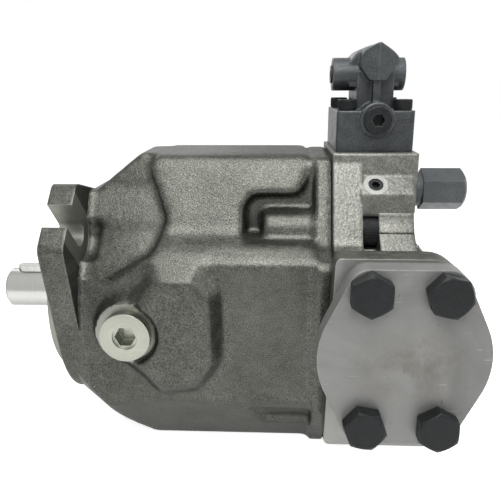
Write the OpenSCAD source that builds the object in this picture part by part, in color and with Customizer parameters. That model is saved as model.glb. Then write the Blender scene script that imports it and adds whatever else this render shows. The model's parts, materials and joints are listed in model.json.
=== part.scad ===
// Variable axial piston pump with a two-spool control valve.
// Shaft along X, shaft end towards -X, ports at -Y and +Y, +Z up.
// The origin is the centre of the mounting flange face.

/* [Mounting flange] */

// Diameter of the centring spigot
pilot_d = 100; // [90:0.1:110]
// Length of the spigot in front of the flange face
pilot_len = 9; // [6:0.5:12]
// Thickness of the flange
flange_t = 13.5; // [12:0.5:20]
// Diameter of the flange disc
flange_disc_d = 125; // [118:1:135]
// Distance between the two bolt slots
slot_pitch = 140; // [134:1:148]
// Width of the open bolt slots
slot_w = 14; // [12:0.5:18]
// Distance from the shaft to the tip of an ear
ear_tip_r = 88; // [84:0.5:94]
// Width of an ear at its tip
ear_tip_w = 42; // [36:1:48]
// Turn of the ear line from the vertical
ear_angle = 45; // [0:1:90]

/* [Shaft] */

// Diameter of the keyed shaft end
shaft_d = 25; // [22:0.5:28]
// Length of the shaft end in front of the flange face
shaft_out = 52; // [44:1:60]
// Diameter of the shaft inside the pump
journal_d = 30; // [29:0.5:32]
// Width of the key
key_w = 8; // [6:1:10]
// Height of the key
key_h = 7; // [6:0.5:8]
// Length of the key
key_len = 36; // [28:1:40]

/* [Housing] */

// Distance from the flange face to the joint with the end cover
housing_len = 153; // [150:0.5:158]
// Length of the collar at the cover joint
collar_len = 10; // [8:0.5:14]
// Height of the top of the housing above the shaft
top_h = 90.5; // [88:0.5:95]
// Depth of the foot of the housing below the shaft
foot_h = 90; // [86:0.5:95]
// Half width of the upper bulge
top_half_w = 33; // [30:0.5:36]
// Distance from the shaft to the flat sides
side_w = 66; // [64:0.5:70]
// Radius of the main chamber
chamber_r = 51.5; // [50.5:0.5:53]

/* [Rotating group] */

// Diameter of a piston
piston_d = 18; // [16:0.25:18.5]
// Radius of the circle of the piston balls
ball_pitch_r = 32.5; // [32:0.25:33]
// Diameter of the piston ball
ball_d = 13; // [12:0.25:13.5]
// Greatest tilt of the swashplate, degrees
tilt_max = 17.5; // [12:0.25:17.5]
// Thickness of the valve plate
valve_plate_t = 4; // [3:0.25:5]

/* [Controls] */

// Height of the stroking piston above the shaft
stroke_z = 66.5; // [65:0.25:68]
// Depth of the bias spring below the shaft
bias_z = 62; // [60:0.25:63]
// Diameter of the stroking piston
stroke_d = 20; // [18:0.5:21]
// Width across the flats of the stop cap
cap_af = 22; // [19:1:24]
// Length of the stop cap
cap_len = 26; // [22:1:30]

/* [Ports] */

// Distance from the cover joint to the port centres
port_gap = 31.3; // [30:0.1:33]
// Distance from the shaft to the suction pad face
port_y = 86; // [84:0.5:88]
// Diameter of the suction port
suction_d = 38; // [32:1:40]
// Bolt spacing of the suction port, long side
suction_bolt_z = 69.9; // [69:0.1:71]
// Bolt spacing of the suction port, short side
suction_bolt_x = 35.7; // [35:0.1:37]
// Diameter of the pressure port
pressure_d = 25; // [20:1:26]
// Bolt spacing of the pressure port, long side
pressure_bolt_z = 52.4; // [52:0.1:54]
// Bolt spacing of the pressure port, short side
pressure_bolt_x = 26.2; // [26:0.1:27]
// Thickness of the blank plate
plate_t = 12; // [10:0.5:14]
// Height of the suction pad above the shaft
pad_top = 47.3; // [46:0.1:49]
// Depth of the suction pad below the shaft
pad_low = 55.6; // [54:0.1:57]
// Distance from the flange face to the drain plug
drain_x = 42; // [40:0.5:43]

/* [Control valve] */

// Width of the valve block
valve_w = 43; // [41:0.5:45]
// Height of the valve block
valve_h = 22.4; // [21:0.2:24]
// Distance of the valve block front from the shaft plane
valve_front = 25; // [23:0.5:27]
// Distance of the valve block back from the shaft plane
valve_back = 33; // [31:0.5:36]
// Height of the pressure spool above the valve seat face
low_spool_h = 17.6; // [16.5:0.1:18.5]
// Height of the flow spool above the valve seat face
high_spool_h = 48; // [47:0.25:49]
// Diameter of the spools
spool_d = 9; // [8:0.25:10]

/* [Clearances] */

// Running clearance between moving faces
run_c = 0.15; // [0.1:0.01:0.2]
// Clearance of parts fitted together by hand
fit_c = 0.05; // [0.02:0.01:0.1]

/* [Hidden] */

$fn = 64;
eps = 0.01;

// colours as the photo shows them
c_cast = [0.23, 0.23, 0.23];
c_cover = [0.45, 0.44, 0.42];
c_steel = [0.66, 0.66, 0.65];
c_plate = [0.48, 0.48, 0.47];
c_black = [0.09, 0.09, 0.10];
c_bright = [0.78, 0.78, 0.77];
c_bronze = [0.72, 0.55, 0.30];
c_rubber = [0.05, 0.05, 0.05];

// thickness of the gasket between the housing and the cover
gasket_t = 0.5;

// inner lengths that follow the length of the housing
along = housing_len / 153;
pivot_x = 80 * along;
block_len = 52 * along;
cradle_r = 50 * along;
port_x = housing_len + port_gap;
drain_z = -0.8;
// half width of the room for the cradle shells
arm_half = 45.2;
// open drain hole, hole of the plug, and the flat landing inside the wall
drain_r = 10.5;
plug_r = 10;
drain_land = side_w - 8.8;

// rotating group places along X
pistons = 9;
ball_r = ball_d / 2;
piston_r = piston_d / 2;
sole_h = ball_r + 1.5;
face_x = pivot_x - sole_h - 0.1;
// the piston stays parallel to the shaft, so it wanders by this much
wander = ball_pitch_r * (1 - cos(tilt_max)) / 2;
bore_pitch_r = ball_pitch_r - wander;
bore_r = piston_r + wander + run_c;
stroke_half = ball_pitch_r * sin(tilt_max);
block_x1 = housing_len - valve_plate_t;
block_x0 = block_x1 - block_len;
block_r = bore_pitch_r + bore_r + 5.5;
kidney_r0 = bore_pitch_r - 4.5;
kidney_r1 = bore_pitch_r + 3.5;
bore_floor = block_x1 - 8;
piston_x1 = bore_floor - stroke_half - 2.5;
guide_r = 20;
shaft_r = journal_d / 2;
spline_r = shaft_r - 0.6;
retainer_r = ball_pitch_r + 13.5;
slipper_r = ball_pitch_r * sin(180 / pistons) - 0.35;
neck_r = ball_r + 2.5;

// front bearing places
seal_x0 = -pilot_len + 3.2;
seal_x1 = seal_x0 + 8;
fb_x0 = 10 * along;
fb_x1 = 27 * along;
fb_r = 31;
seat_r = shaft_r + 5;
rb_x0 = housing_len + 1.5;
rb_x1 = rb_x0 + 15;
rb_r = 23.5;
rear_journal_r = 12.5;

// control places
lug_r = 7;
stroke_r = stroke_d / 2;
sleeve_r = stroke_r + 4;
stroke_travel = stroke_z * tilt_max * PI / 180;
bias_travel = bias_z * sin(tilt_max);
rod_x0 = pivot_x + lug_r + run_c;
stroke_x1 = housing_len + 12;
stop_x = stroke_x1 + stroke_travel + 0.3;
cover_top_x = housing_len + 46.6;
cover_rear_x = port_x + 35;
cap_x0 = cover_top_x + 9.4;
seat_z = top_h + 1.1;
valve_x = housing_len + 2 + valve_w / 2;
low_z = seat_z + low_spool_h;
high_z = seat_z + high_spool_h;
spool_x = valve_x + 0.5;
spool_r = spool_d / 2;
plate_y = -port_y - plate_t;

// places of the four screws that hold the cover, and the cover's flange
cover_bolts = [[-35.5, 49.5], [35.5, 49.5], [-36, -57], [36, -57]];
cover_flange = 16;
block_front = valve_front + 8;
valve_bolts = [for (sx = [-1, 1], sy = [0, 1])
    [valve_x + sx * (valve_w / 2 - 6), sy == 0 ? -valve_front + 6.5 : valve_back - 6.5]];

// drawing helpers
module rodx(x0, x1, r, r2 = -1, n = 64)
    translate([x0, 0, 0])
        rotate([0, 90, 0])
            cylinder(h = x1 - x0, r1 = r, r2 = r2 < 0 ? r : r2, $fn = n);

module rody(y0, y1, r, r2 = -1, n = 64)
    translate([0, y0, 0])
        rotate([-90, 0, 0])
            cylinder(h = y1 - y0, r1 = r, r2 = r2 < 0 ? r : r2, $fn = n);

module rodz(z0, z1, r, r2 = -1, n = 64)
    translate([0, 0, z0])
        cylinder(h = z1 - z0, r1 = r, r2 = r2 < 0 ? r : r2, $fn = n);

module box(x0, x1, y0, y1, z0, z1)
    translate([x0, y0, z0])
        cube([x1 - x0, y1 - y0, z1 - z0]);

// a flat shape in Y and Z, drawn out along X
module prism_x(x0, x1, pts)
    translate([x0, 0, 0])
        rotate([90, 0, 90])
            linear_extrude(height = x1 - x0)
                polygon(pts);

// a flat shape in X and Z, drawn out along Y
module prism_y(y0, y1, pts)
    translate([0, y1, 0])
        rotate([90, 0, 0])
            linear_extrude(height = y1 - y0)
                polygon(pts);

// a flat shape in X and Y, drawn out along Z
module prism_z(z0, z1, pts)
    translate([0, 0, z0])
        linear_extrude(height = z1 - z0)
            polygon(pts);

// hexagonal bar along X with flats facing +Y and -Y
module hexx(x0, x1, af)
    translate([x0, 0, 0])
        rotate([0, 90, 0])
            cylinder(h = x1 - x0, r = af / sqrt(3), $fn = 6);

module hexy(y0, y1, af, turn = 0)
    translate([0, y0, 0])
        rotate([-90, 0, 0])
            rotate([0, 0, turn])
                cylinder(h = y1 - y0, r = af / sqrt(3), $fn = 6);

// the corners of a polygon, each rounded with its own radius
function unit(v) = v / norm(v);
function wrap(i, n) = (i + n) % n;
function corner(a, b, c, r) =
    let (u = unit(a - b), w = unit(c - b))
    let (half = acos(max(-1, min(1, u * w))) / 2)
    let (d = r / tan(half))
    let (m = b + unit(u + w) * (r / sin(half)))
    let (p = b + u * d, q = b + w * d)
    let (a0 = atan2(p[1] - m[1], p[0] - m[0]))
    let (a1 = atan2(q[1] - m[1], q[0] - m[0]))
    let (t = a1 - a0 > 180 ? a1 - a0 - 360 : a1 - a0 < -180 ? a1 - a0 + 360 : a1 - a0)
    [for (k = [0:4]) m + r * [cos(a0 + t * k / 4), sin(a0 + t * k / 4)]];
function rounded(pts, rs) =
    let (n = len(pts))
    [for (i = [0:n - 1])
        each (rs[i] <= 0 ? [pts[i]] :
            corner(pts[wrap(i - 1, n)], pts[i], pts[wrap(i + 1, n)], rs[i]))];
function mirrored(pts) =
    let (n = len(pts))
    concat(pts, [for (i = [n - 1:-1:0]) [-pts[i][0], pts[i][1]]]);
function doubled(rs) =
    let (n = len(rs))
    concat(rs, [for (i = [n - 1:-1:0]) rs[i]]);

// a coil along X, computed ring by ring
function coil_ring(x, a, rm, rw) =
    [for (j = [0:5])
        [x + rw * sin(j * 60), (rm + rw * cos(j * 60)) * cos(a), (rm + rw * cos(j * 60)) * sin(a)]];
module coil(x0, x1, rm, rw, turns)
{
    steps = round(turns * 10);
    pitch = (x1 - x0 - 2 * rw) / turns;
    echo(coil_gap = pitch - 2 * rw);
    pts = [for (i = [0:steps])
        each coil_ring(x0 + rw + pitch * turns * i / steps, 36 * i, rm, rw)];
    sides = [for (i = [0:steps - 1], j = [0:5])
        [i * 6 + j, i * 6 + (j + 1) % 6, (i + 1) * 6 + (j + 1) % 6, (i + 1) * 6 + j]];
    ends = [[5, 4, 3, 2, 1, 0], [for (j = [0:5]) steps * 6 + j]];
    polyhedron(points = pts, faces = concat(sides, ends), convexity = 10);
}

// socket-head screw along X, head towards +X, seat face at x
module cap_screw_x(x, d, len)
    difference()
    {
        union()
        {
            rodx(x - len, x, d / 2);
            rodx(x, x + d, d * 0.75);
        }
        rodx(x + d / 2, x + d + eps, d * 0.45, n = 6);
    }

// a profile of radius and X, turned about the shaft axis
module revolve_x(pts)
    rotate([0, 90, 0])
        rotate_extrude($fn = 96)
            polygon(pts);

// cover outline in Y and Z, also used for the collar of the housing
collar_half = [[-top_half_w + 1, top_h - 1.5], [-51, 45], [-side_w - 3, 37],
    [-side_w - 3, -48], [-42, -foot_h + 12], [-32, -foot_h]];
collar_pts = rounded(mirrored(collar_half), doubled([5, 7, 6, 6, 6, 5]));
// housing outline in Y and Z
body_half = [[-top_half_w + 3, top_h], [-46.5, 50], [-57, 44.5], [-side_w, 38],
    [-side_w, -43], [-27, -foot_h]];
body_pts = rounded(mirrored(body_half), doubled([9, 8, 6, 6, 8, 8]));
// housing outline in X and Z: the upper part starts behind the neck
side_pts = rounded([[47, top_h + 1], [61, 56], [56, 41], [33, 28], [8, 26], [8, -62],
    [44, -foot_h - 1], [housing_len, -foot_h - 1], [housing_len, top_h + 1]],
    [8, 5, 7, 10, 0, 0, 10, 0, 0]);
// housing outline in X and Y
plan_half = [[8, -58.5], [30, -60], [50, -side_w - 1], [housing_len, -side_w - 1]];
plan_pts = concat(plan_half, [for (i = [3:-1:0]) [plan_half[i][0], -plan_half[i][1]]]);
// nose above the neck, in Y and Z and in X and Z
nose_half = [[-20, top_h + 1], [-26, 70], [-44, 40]];
nose_pts = rounded(mirrored(nose_half), doubled([6, 14, 0]));
nose_side = rounded([[8, 40], [8, 66], [18, 70], [43.5, top_h], [66, top_h], [66, 40]],
    [0, 0, 5, 5, 0, 0]);
// neck behind the flange, radius and X
disc_r = flange_disc_d / 2;
neck_profile = [[0, 8], [disc_r, 8], [disc_r + 0.3, 20], [disc_r + 1.8, 34],
    [disc_r + 2.5, 46], [disc_r + 2.5, 66], [0, 66]];

ear_c = [ear_tip_w / 2, ear_tip_r];
ear_a = atan(ear_c[0] / ear_c[1]) + acos(flange_disc_d / 2 / norm(ear_c));
ear_t = flange_disc_d / 2 * [sin(ear_a), cos(ear_a)];
ear_pts = rounded([[-ear_c[0], ear_c[1]], ear_c, ear_t, [-ear_t[0], ear_t[1]]], [7, 7, 0, 0]);

// octagonal boss on the near side
boss_pts = [[60, 30], [78.5, 30.3], [86.5, 20], [87, -16], [77.5, -29.5], [61, -32], [48.5, -18],
    [51.5, 18.5]];
boss_mid = [68, 0];
boss_base = [for (p = boss_pts) boss_mid + (p - boss_mid) * 1.42];
boss_h = 9;

// a slot from the bolt's place outwards, open at the tip of the ear
module open_slot(x0, x1, half_w)
{
    translate([0, 0, slot_pitch / 2])
        rodx(x0, x1, half_w);
    box(x0, x1, -half_w, half_w, slot_pitch / 2, ear_tip_r + 30);
}

module flange_ear()
    difference()
    {
        prism_x(0, flange_t, ear_pts);
        open_slot(-1, flange_t + 1, slot_w / 2);
    }

module flange_relief()
{
    open_slot(-1, flange_t + 1, slot_w / 2);
    // room behind the ear for the bolt head
    open_slot(flange_t, flange_t + 8.5, slot_w + 1.5);
}

// one slanted side of the octagonal boss, cut along the edge from a to b
module boss_slope(a, b)
{
    d = unit(b - a);
    out = [d[1], -d[0]] * -1;
    c = cos(40);
    w = sin(40);
    multmatrix([[d[0], out[0] * c, out[0] * w, a[0]],
        [0, -w, c, -side_w - boss_h],
        [d[1], out[1] * c, out[1] * w, a[1]],
        [0, 0, 0, 1]])
        translate([-60, 0, -60])
            cube([120, 40, 120]);
}

module side_boss()
    difference()
    {
        prism_y(-side_w - boss_h, -side_w + 12, boss_base);
        for (i = [0:7])
            boss_slope(boss_pts[i], boss_pts[wrap(i + 1, 8)]);
        translate([drain_x, 0, drain_z])
            rody(-side_w - 20, -side_w - 4, 17.5);
    }

module housing_outside()
{
    difference()
    {
        union()
        {
            intersection()
            {
                prism_x(8, housing_len - collar_len + eps, body_pts);
                prism_y(-90, 90, side_pts);
                prism_z(-100, 100, plan_pts);
                // the foot rises to the flange in a cone
                revolve_x([[0, 0], [60, 0], [104, 60], [140, 60], [140, housing_len], [0, housing_len]]);
            }
            revolve_x(neck_profile);
            intersection()
            {
                prism_x(8, 66, nose_pts);
                prism_y(-60, 60, nose_side);
            }
        }
        for (s = [0, 180])
            rotate([ear_angle + s, 0, 0])
                flange_relief();
        // recesses around the bosses of the cover screws
        for (m = [0, 1])
            mirror([0, m, 0])
            {
                upper_recess();
                lower_recess();
            }
        // groove across the top in front of the collar
        box(collar_x - 3.5, collar_x, -33, 33, top_h - 3, top_h + 2);
    }
    // bosses of the upper cover screws
    for (p = cover_bolts)
        if (p[1] > 0)
            translate([0, p[0], p[1]])
                rodx(collar_x - 28.5, collar_x + 1, 10.8);
    prism_x(collar_x, housing_len - gasket_t, collar_pts);
    rodx(0, flange_t, flange_disc_d / 2, n = 96);
    rodx(-pilot_len, 1, pilot_d / 2, n = 96);
    for (s = [0, 180])
        rotate([ear_angle + s, 0, 0])
            flange_ear();
    side_boss();
    // drain bosses on both sides
    for (m = [0, 1])
        mirror([0, m, 0])
            translate([drain_x, 0, drain_z])
                rody(-side_w - 4, -50, 17.5, 25);
}

collar_x = housing_len - collar_len;
recess_pts = rounded([[collar_x - 39, 46], [collar_x - 39, 63], [collar_x - 34, 69],
    [collar_x - 9, 69], [collar_x - 3.5, 77], [collar_x - 3.5, top_h + 2], [collar_x, top_h + 2],
    [collar_x, 46]], [0, 4, 4, 5, 5, 0, 0, 0]);
module upper_recess()
    difference()
    {
        prism_y(-side_w - 10, -31, recess_pts);
        rodx(0, housing_len, chamber_r + 6);
    }

// the slanted lower face of the body, moved in by the depth of the lower recess
low_depth = 3.5;
low_a = body_half[4];
low_b = body_half[5];
low_in = low_depth * unit([low_a[1] - low_b[1], low_b[0] - low_a[0]]);
low_floor = [low_a + low_in, low_b + low_in, [0, low_b[1] + low_in[1]], [0, low_a[1] + low_in[1]]];
module lower_recess()
    difference()
    {
        prism_y(-side_w - 10, -20, rounded([[collar_x - 37, -51], [collar_x - 27, -69],
            [collar_x, -69], [collar_x, -51]], [0, 4, 0, 0]));
        prism_x(0, housing_len, low_floor);
    }

module pump_housing()
color(c_cast)
    difference()
    {
        housing_outside();
        // seal seat, front bearing seat and shaft passage
        rodx(-pilot_len - 1, seal_x1, seat_r + 1 + fit_c);
        rodx(seal_x1 - 1, fb_x0, shaft_r + 2.5);
        rodx(fb_x0, fb_x1 + 4, fb_r);
        difference()
        {
            chamber();
            saddles();
        }
        // room for the cradle shells
        intersection()
        {
            translate([pivot_x, 0, 0])
                rody(-arm_half, arm_half, cradle_r + 2.5 + fit_c, n = 96);
            box(fb_x1, pivot_x - 31.5, -60, 60, -60, 60);
        }
        // drain holes, the near one for the plug, each with a flat landing inside
        translate([drain_x, 0, drain_z])
        {
            rody(-side_w - 30, 1 - drain_land, plug_r);
            rody(drain_land - 1, side_w + 30, drain_r);
            for (m = [0, 1])
                mirror([0, m, 0])
                    rody(arm_half, drain_land, 13.5);
        }
        // tapped holes for the cover screws
        for (p = cover_bolts)
            translate([0, p[0], p[1]])
                rodx(collar_x - 20, housing_len + 1, 6 + fit_c);
    }

module chamber()
{
    // the wide part lets the cradle arms swing
    rodx(fb_x1 + 1, pivot_x - 34, 46, chamber_r + 5.5);
    rodx(pivot_x - 34 - eps, block_x0 + 3, chamber_r + 5.5);
    rodx(block_x0 + 2, housing_len + 1, chamber_r);
    // upper passage with the stroking sleeve
    translate([0, 0, stroke_z])
        rodx(pivot_x - 24, housing_len + 1, sleeve_r + 2.5);
    box(pivot_x - 24, block_x0 + 16, -15, 15, 30, stroke_z + 10);
    // lower passage with the bias spring
    translate([0, 0, -bias_z])
        rodx(pivot_x - 20, housing_len + 1, 18.5);
    box(pivot_x - 32, block_x0 + 10, -15, 15, -bias_z - 12, -30);
}

// seats of the cradle shells, cast into the front wall
module saddles()
    for (s = [-1, 1])
        difference()
        {
            box(fb_x1, pivot_x - 26, s > 0 ? 27 : -45, s > 0 ? 45 : -27, -44, 44);
            translate([pivot_x, 0, 0])
                rody(-60, 60, cradle_r + 2.5 + fit_c);
        }

module sector(r0, r1, a0, a1, x0, x1)
    prism_x(x0, x1, concat(
        [for (k = [0:12]) r1 * [cos(a0 + (a1 - a0) * k / 12), sin(a0 + (a1 - a0) * k / 12)]],
        [for (k = [12:-1:0]) r0 * [cos(a0 + (a1 - a0) * k / 12), sin(a0 + (a1 - a0) * k / 12)]]));

// suction pad, pressure pad and the body between them, in X and Z
pad_pts = rounded([[housing_len - 2, pad_top], [port_x + 19, pad_top], [cover_rear_x, 34],
    [cover_rear_x, -40], [port_x + 22, -pad_low], [housing_len - 5, -pad_low]],
    [3, 17, 12, 12, 10, 3]);
back_pts = rounded([[housing_len + 0.5, 40], [port_x + 19, 40], [cover_rear_x, 28],
    [cover_rear_x, -40], [port_x + 22, -pad_low], [housing_len + 0.5, -pad_low]],
    [0, 17, 10, 12, 10, 0]);
core_pts = rounded([[housing_len + 0.5, 36], [port_x + 16, 36], [cover_rear_x - 4, 12],
    [cover_rear_x - 4, -36], [port_x + 20, -pad_low + 3], [housing_len + 0.5, -pad_low + 3]],
    [0, 8, 8, 10, 10, 0]);
// boss with the set screw in front of the upper block
front_pts = rounded([[-block_front - 9, 30], [-block_front - 9, 71], [-block_front, 79.5],
    [-10, 79.5], [-10, 30]], [0, 2, 0, 0, 0]);
// slope from the front boss down to the suction pad
slope_pts = [[-block_front - 8.5, 55], [-block_front - 26, 39], [-block_front - 26, 30], [-10, 30],
    [-10, 55]];
// foot of the upper block, rounded into the body
foot_pts = [[cover_top_x - 4, 60], [cover_top_x - 2.5, 55], [cover_top_x - 0.8, 47],
    [cover_top_x + 1.8, 41.5], [cover_top_x + 7, 35], [cover_top_x - 4, 35]];
set_screw = [housing_len + 23.4, -block_front - 4.6, 75.6];
set_tilt = 43;

module end_cover()
color(c_cover)
    difference()
    {
        union()
        {
            prism_x(housing_len, housing_len + cover_flange, collar_pts);
            // body with the ports
            prism_y(-side_w - 6, side_w + 6, core_pts);
            // suction pad and pressure pad
            prism_y(-port_y, -side_w - 5, pad_pts);
            prism_y(side_w + 5, port_y, back_pts);
            // upper block under the valve
            box(housing_len, cover_top_x, -block_front, valve_back + 3, 30, seat_z);
            prism_y(-block_front - 9, valve_back + 3, foot_pts);
            prism_x(housing_len + cover_flange - 1, cover_top_x - 2.5, front_pts);
            prism_x(housing_len + 25, cover_top_x - 2.5, slope_pts);
            // foot under the ports
            box(housing_len, port_x + 10, -30, 30, -foot_h, -40);
        }
        // milled seat of the valve
        box(housing_len - 1, cover_top_x + 20, -side_w, side_w, seat_z, seat_z + 60);
        // stroking sleeve seat and stop screw thread
        translate([0, 0, stroke_z])
        {
            rodx(housing_len - 1, stop_x + 2, sleeve_r);
            rodx(stop_x, cap_x0 + 1, 6.1);
        }
        // bias spring pocket
        translate([0, 0, -bias_z])
            rodx(housing_len - 1, housing_len + 8, 18.5);
        // rear bearing seat and shaft end
        rodx(housing_len - 1, rb_x1, rb_r);
        rodx(housing_len - 1, rb_x1 + 3, rb_r - 6);
        // suction passage
        translate([port_x, 0, 0])
            rody(-port_y - 1, -28, suction_d / 2);
        sector(kidney_r0, kidney_r1, 125, 235, housing_len - 1, port_x);
        // pressure passage
        translate([port_x, 0, 0])
            rody(28, port_y + 1, pressure_d / 2);
        sector(kidney_r0, kidney_r1, -45, 45, housing_len - 1, port_x);
        // tapped holes around the ports
        for (sx = [-1, 1], sz = [-1, 1])
        {
            translate([port_x + sx * suction_bolt_x / 2, 0, sz * suction_bolt_z / 2])
                rody(-port_y - 1, -port_y + 14.5, 6 + fit_c);
            translate([port_x + sx * pressure_bolt_x / 2, 0, sz * pressure_bolt_z / 2])
                rody(port_y - 20, port_y + 1, 5);
        }
        // groove for the suction seal
        translate([port_x, 0, 0])
            difference()
            {
                rody(-port_y - 1, -port_y + 2, suction_d / 2 + 6.5);
                rody(-port_y - 2, -port_y + 3, suction_d / 2 + 3);
            }
        // cover screws, each with room for its head, and valve screws
        for (p = cover_bolts)
            translate([0, p[0], p[1]])
            {
                rodx(housing_len - 1, housing_len + cover_flange + 1, 6.6);
                rodx(housing_len + cover_flange, cover_rear_x + 1, 9.6);
            }
        for (m = [0, 1])
            mirror([0, m, 0])
                box(housing_len + cover_flange, housing_len + 25, -side_w + 10, -26, 39.5, 58.5);
        for (p = valve_bolts)
            translate([p[0], p[1], 0])
                rodz(seat_z - 14, seat_z + 1, 3 + fit_c);
        // set screw with a spot face on the slope of the front boss
        translate(set_screw)
            rotate([set_tilt, 0, 0])
            {
                rodz(-13, 1, 4.05);
                rodz(0, 14, 6.7);
            }
    }

module o_ring_x(x, r, w)
    translate([x, 0, 0])
        rotate([0, 90, 0])
            rotate_extrude()
                translate([r, 0])
                    circle(w, $fn = 24);

module static_seals()
color(c_rubber)
{
    // flat gasket in the cover joint
    difference()
    {
        prism_x(housing_len - gasket_t, housing_len, [for (p = collar_pts) p * 0.985]);
        rodx(housing_len - 2, housing_len + 1, chamber_r + 1);
        translate([0, 0, stroke_z])
            rodx(housing_len - 2, housing_len + 1, sleeve_r + 2.5);
        translate([0, 0, -bias_z])
            rodx(housing_len - 2, housing_len + 1, 18.5);
        for (p = cover_bolts)
            translate([0, p[0], p[1]])
                rodx(housing_len - 2, housing_len + 1, 6.6);
    }
    // suction port seal
    translate([port_x, 0, 0])
        difference()
        {
            rody(-port_y, -port_y + 2, suction_d / 2 + 6.5 - fit_c);
            rody(-port_y - 1, -port_y + 3, suction_d / 2 + 3 + fit_c);
        }
}

module cover_screws()
color(c_black)
    for (p = cover_bolts)
        translate([0, p[0], p[1]])
            cap_screw_x(housing_len + cover_flange, 12, cover_flange + collar_len + 18);

plate_w = 42;
plate_corner = 11;
module suction_plate()
color(c_plate)
    difference()
    {
        union()
        {
            translate([port_x, 0, 0])
                rody(plate_y, -port_y, plate_w, n = 96);
            prism_y(plate_y, -port_y, plate_outline);
        }
        for (sx = [-1, 1], sz = [-1, 1])
            translate([port_x + sx * suction_bolt_x / 2, 0, sz * suction_bolt_z / 2])
                rody(plate_y - 1, -port_y + 1, 6.5);
    }
// corners of the plate, each tangent to the round middle
plate_b = [suction_bolt_x / 2, suction_bolt_z / 2];
plate_n = atan2(plate_b[1], plate_b[0]) - acos((plate_w - plate_corner) / norm(plate_b));
plate_n2 = [cos(plate_n), sin(plate_n)];
plate_quarter = concat([plate_w * plate_n2],
    [for (k = [0:6])
        let (a = plate_n + (90 - plate_n) * k / 6)
        plate_b + plate_corner * [cos(a), sin(a)]]);
function flip(pts, sx, sz) = [for (p = pts) [port_x + sx * p[0], sz * p[1]]];
function backwards(pts) = [for (i = [len(pts) - 1:-1:0]) pts[i]];
plate_outline = concat(flip(plate_quarter, 1, 1), backwards(flip(plate_quarter, -1, 1)),
    flip(plate_quarter, -1, -1), backwards(flip(plate_quarter, 1, -1)));

bolt_turn = [30, 10, 13, 30];
module suction_bolts()
color(c_black)
    for (i = [0:3])
        translate([port_x + (i < 2 ? -1 : 1) * suction_bolt_x / 2, 0,
            (i % 2 == 0 ? 1 : -1) * suction_bolt_z / 2])
        {
            rody(plate_y - 0.6, -port_y + 13.5, 6);
            rody(plate_y - 0.6, plate_y, 8.7);
            intersection()
            {
                hexy(plate_y - 8.1, plate_y - 0.6, 19, bolt_turn[i]);
                rody(plate_y - 8.1, plate_y - 0.5, 9.2, 9.2 + 7.6 * 1.7, n = 48);
            }
        }

module drain_plug()
color(c_steel)
    translate([drain_x, 0, drain_z])
        difference()
        {
            union()
            {
                rody(-side_w - 10, -side_w - 4, 13.5);
                rody(-side_w - 4, -drain_land, plug_r - fit_c);
            }
            rody(-side_w - 11, -side_w - 8.5, 6.6);
            hexy(-side_w - 11, -side_w - 1, 10);
        }

module drive_shaft()
color(c_bright)
    difference()
    {
        union()
        {
            rodx(-shaft_out, -shaft_out + 1.5, shaft_d / 2 - 1.5, shaft_d / 2);
            rodx(-shaft_out + 1.5 - eps, seal_x0 - 2, shaft_d / 2);
            rodx(seal_x0 - 2 - eps, fb_x1 + 3, shaft_r - eps);
            rodx(fb_x1, fb_x1 + 6, shaft_r + 1.5);
            rodx(fb_x1, block_x0 - 0.5, shaft_r - 0.1);
            rodx(block_x0 - 1, block_x1 - 2, spline_r);
            for (k = [0:11])
                rotate([k * 30, 0, 0])
                    box(block_x0 + 2, block_x1 - 6, -1.6, 1.6, spline_r - 1, spline_r + 1.4);
            rodx(block_x1 - 3, rb_x1 + 1, rear_journal_r - run_c);
            rodx(rb_x1 + 1 - eps, rb_x1 + 2, rear_journal_r - run_c, rear_journal_r - 1.2);
        }
        key_space(fit_c);
    }

key_x0 = -shaft_out + 6;
key_seat = shaft_d / 2 - 4;
module key_space(c)
{
    box(key_x0 + key_w / 2, key_x0 + key_len - key_w / 2, -key_w / 2 - c, key_w / 2 + c,
        key_seat - c, shaft_d);
    for (x = [key_x0 + key_w / 2, key_x0 + key_len - key_w / 2])
        translate([x, 0, 0])
            rodz(key_seat - c, shaft_d, key_w / 2 + c);
}

module shaft_key()
color(c_steel)
    intersection()
    {
        key_space(0);
        box(key_x0, key_x0 + key_len, -key_w, key_w, 0, key_seat + key_h);
    }

module shaft_seal()
color(c_rubber)
    difference()
    {
        rodx(seal_x0, seal_x1, seat_r + 1);
        rodx(seal_x0 - 1, seal_x0 + 2, shaft_r + 1.5);
        rodx(seal_x0, seal_x0 + 5, shaft_r + run_c);
        rodx(seal_x0 + 4, seal_x1 + 1, shaft_r + 2);
    }

module seal_ring()
color(c_steel)
    difference()
    {
        rodx(seal_x0 - 1.6, seal_x0 - 0.1, seat_r + 1);
        rodx(seal_x0 - 3, seal_x0 + 1, seat_r - 1.5);
        box(seal_x0 - 3, seal_x0 + 1, -3, 3, -seat_r - 5, 0);
    }

// tapered front bearing: cup, cone and rollers share one slope
fb_len = fb_x1 - fb_x0;
roll_r = 3.4;
fb_mid0 = 22.4;
fb_mid1 = 24.6;
fb_slope = (fb_mid1 - fb_mid0) / fb_len;
module front_bearing_cup()
color(c_steel)
    difference()
    {
        rodx(fb_x0 + 2, fb_x1, fb_r - fit_c);
        rodx(fb_x0 - 1, fb_x1 + 1, fb_mid1 + roll_r + run_c + 0.35, fb_mid0 + roll_r + run_c - 0.3);
    }

module front_bearing_cone()
color(c_steel)
    difference()
    {
        rodx(fb_x0, fb_x1, fb_mid1 - roll_r - run_c, fb_mid0 - roll_r - run_c + 0.1);
        rodx(fb_x0 - 1, fb_x1 + 1, shaft_r);
    }

module front_rollers()
color(c_steel)
    for (k = [0:17])
        rotate([k * 20, 0, 0])
            translate([0, 0, fb_mid1 + fb_x0 * fb_slope])
                rotate([0, atan(fb_slope), 0])
                    rodx(fb_x0 + 5.5, fb_x1 + 0.5, roll_r, roll_r - 0.35, n = 32);

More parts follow.
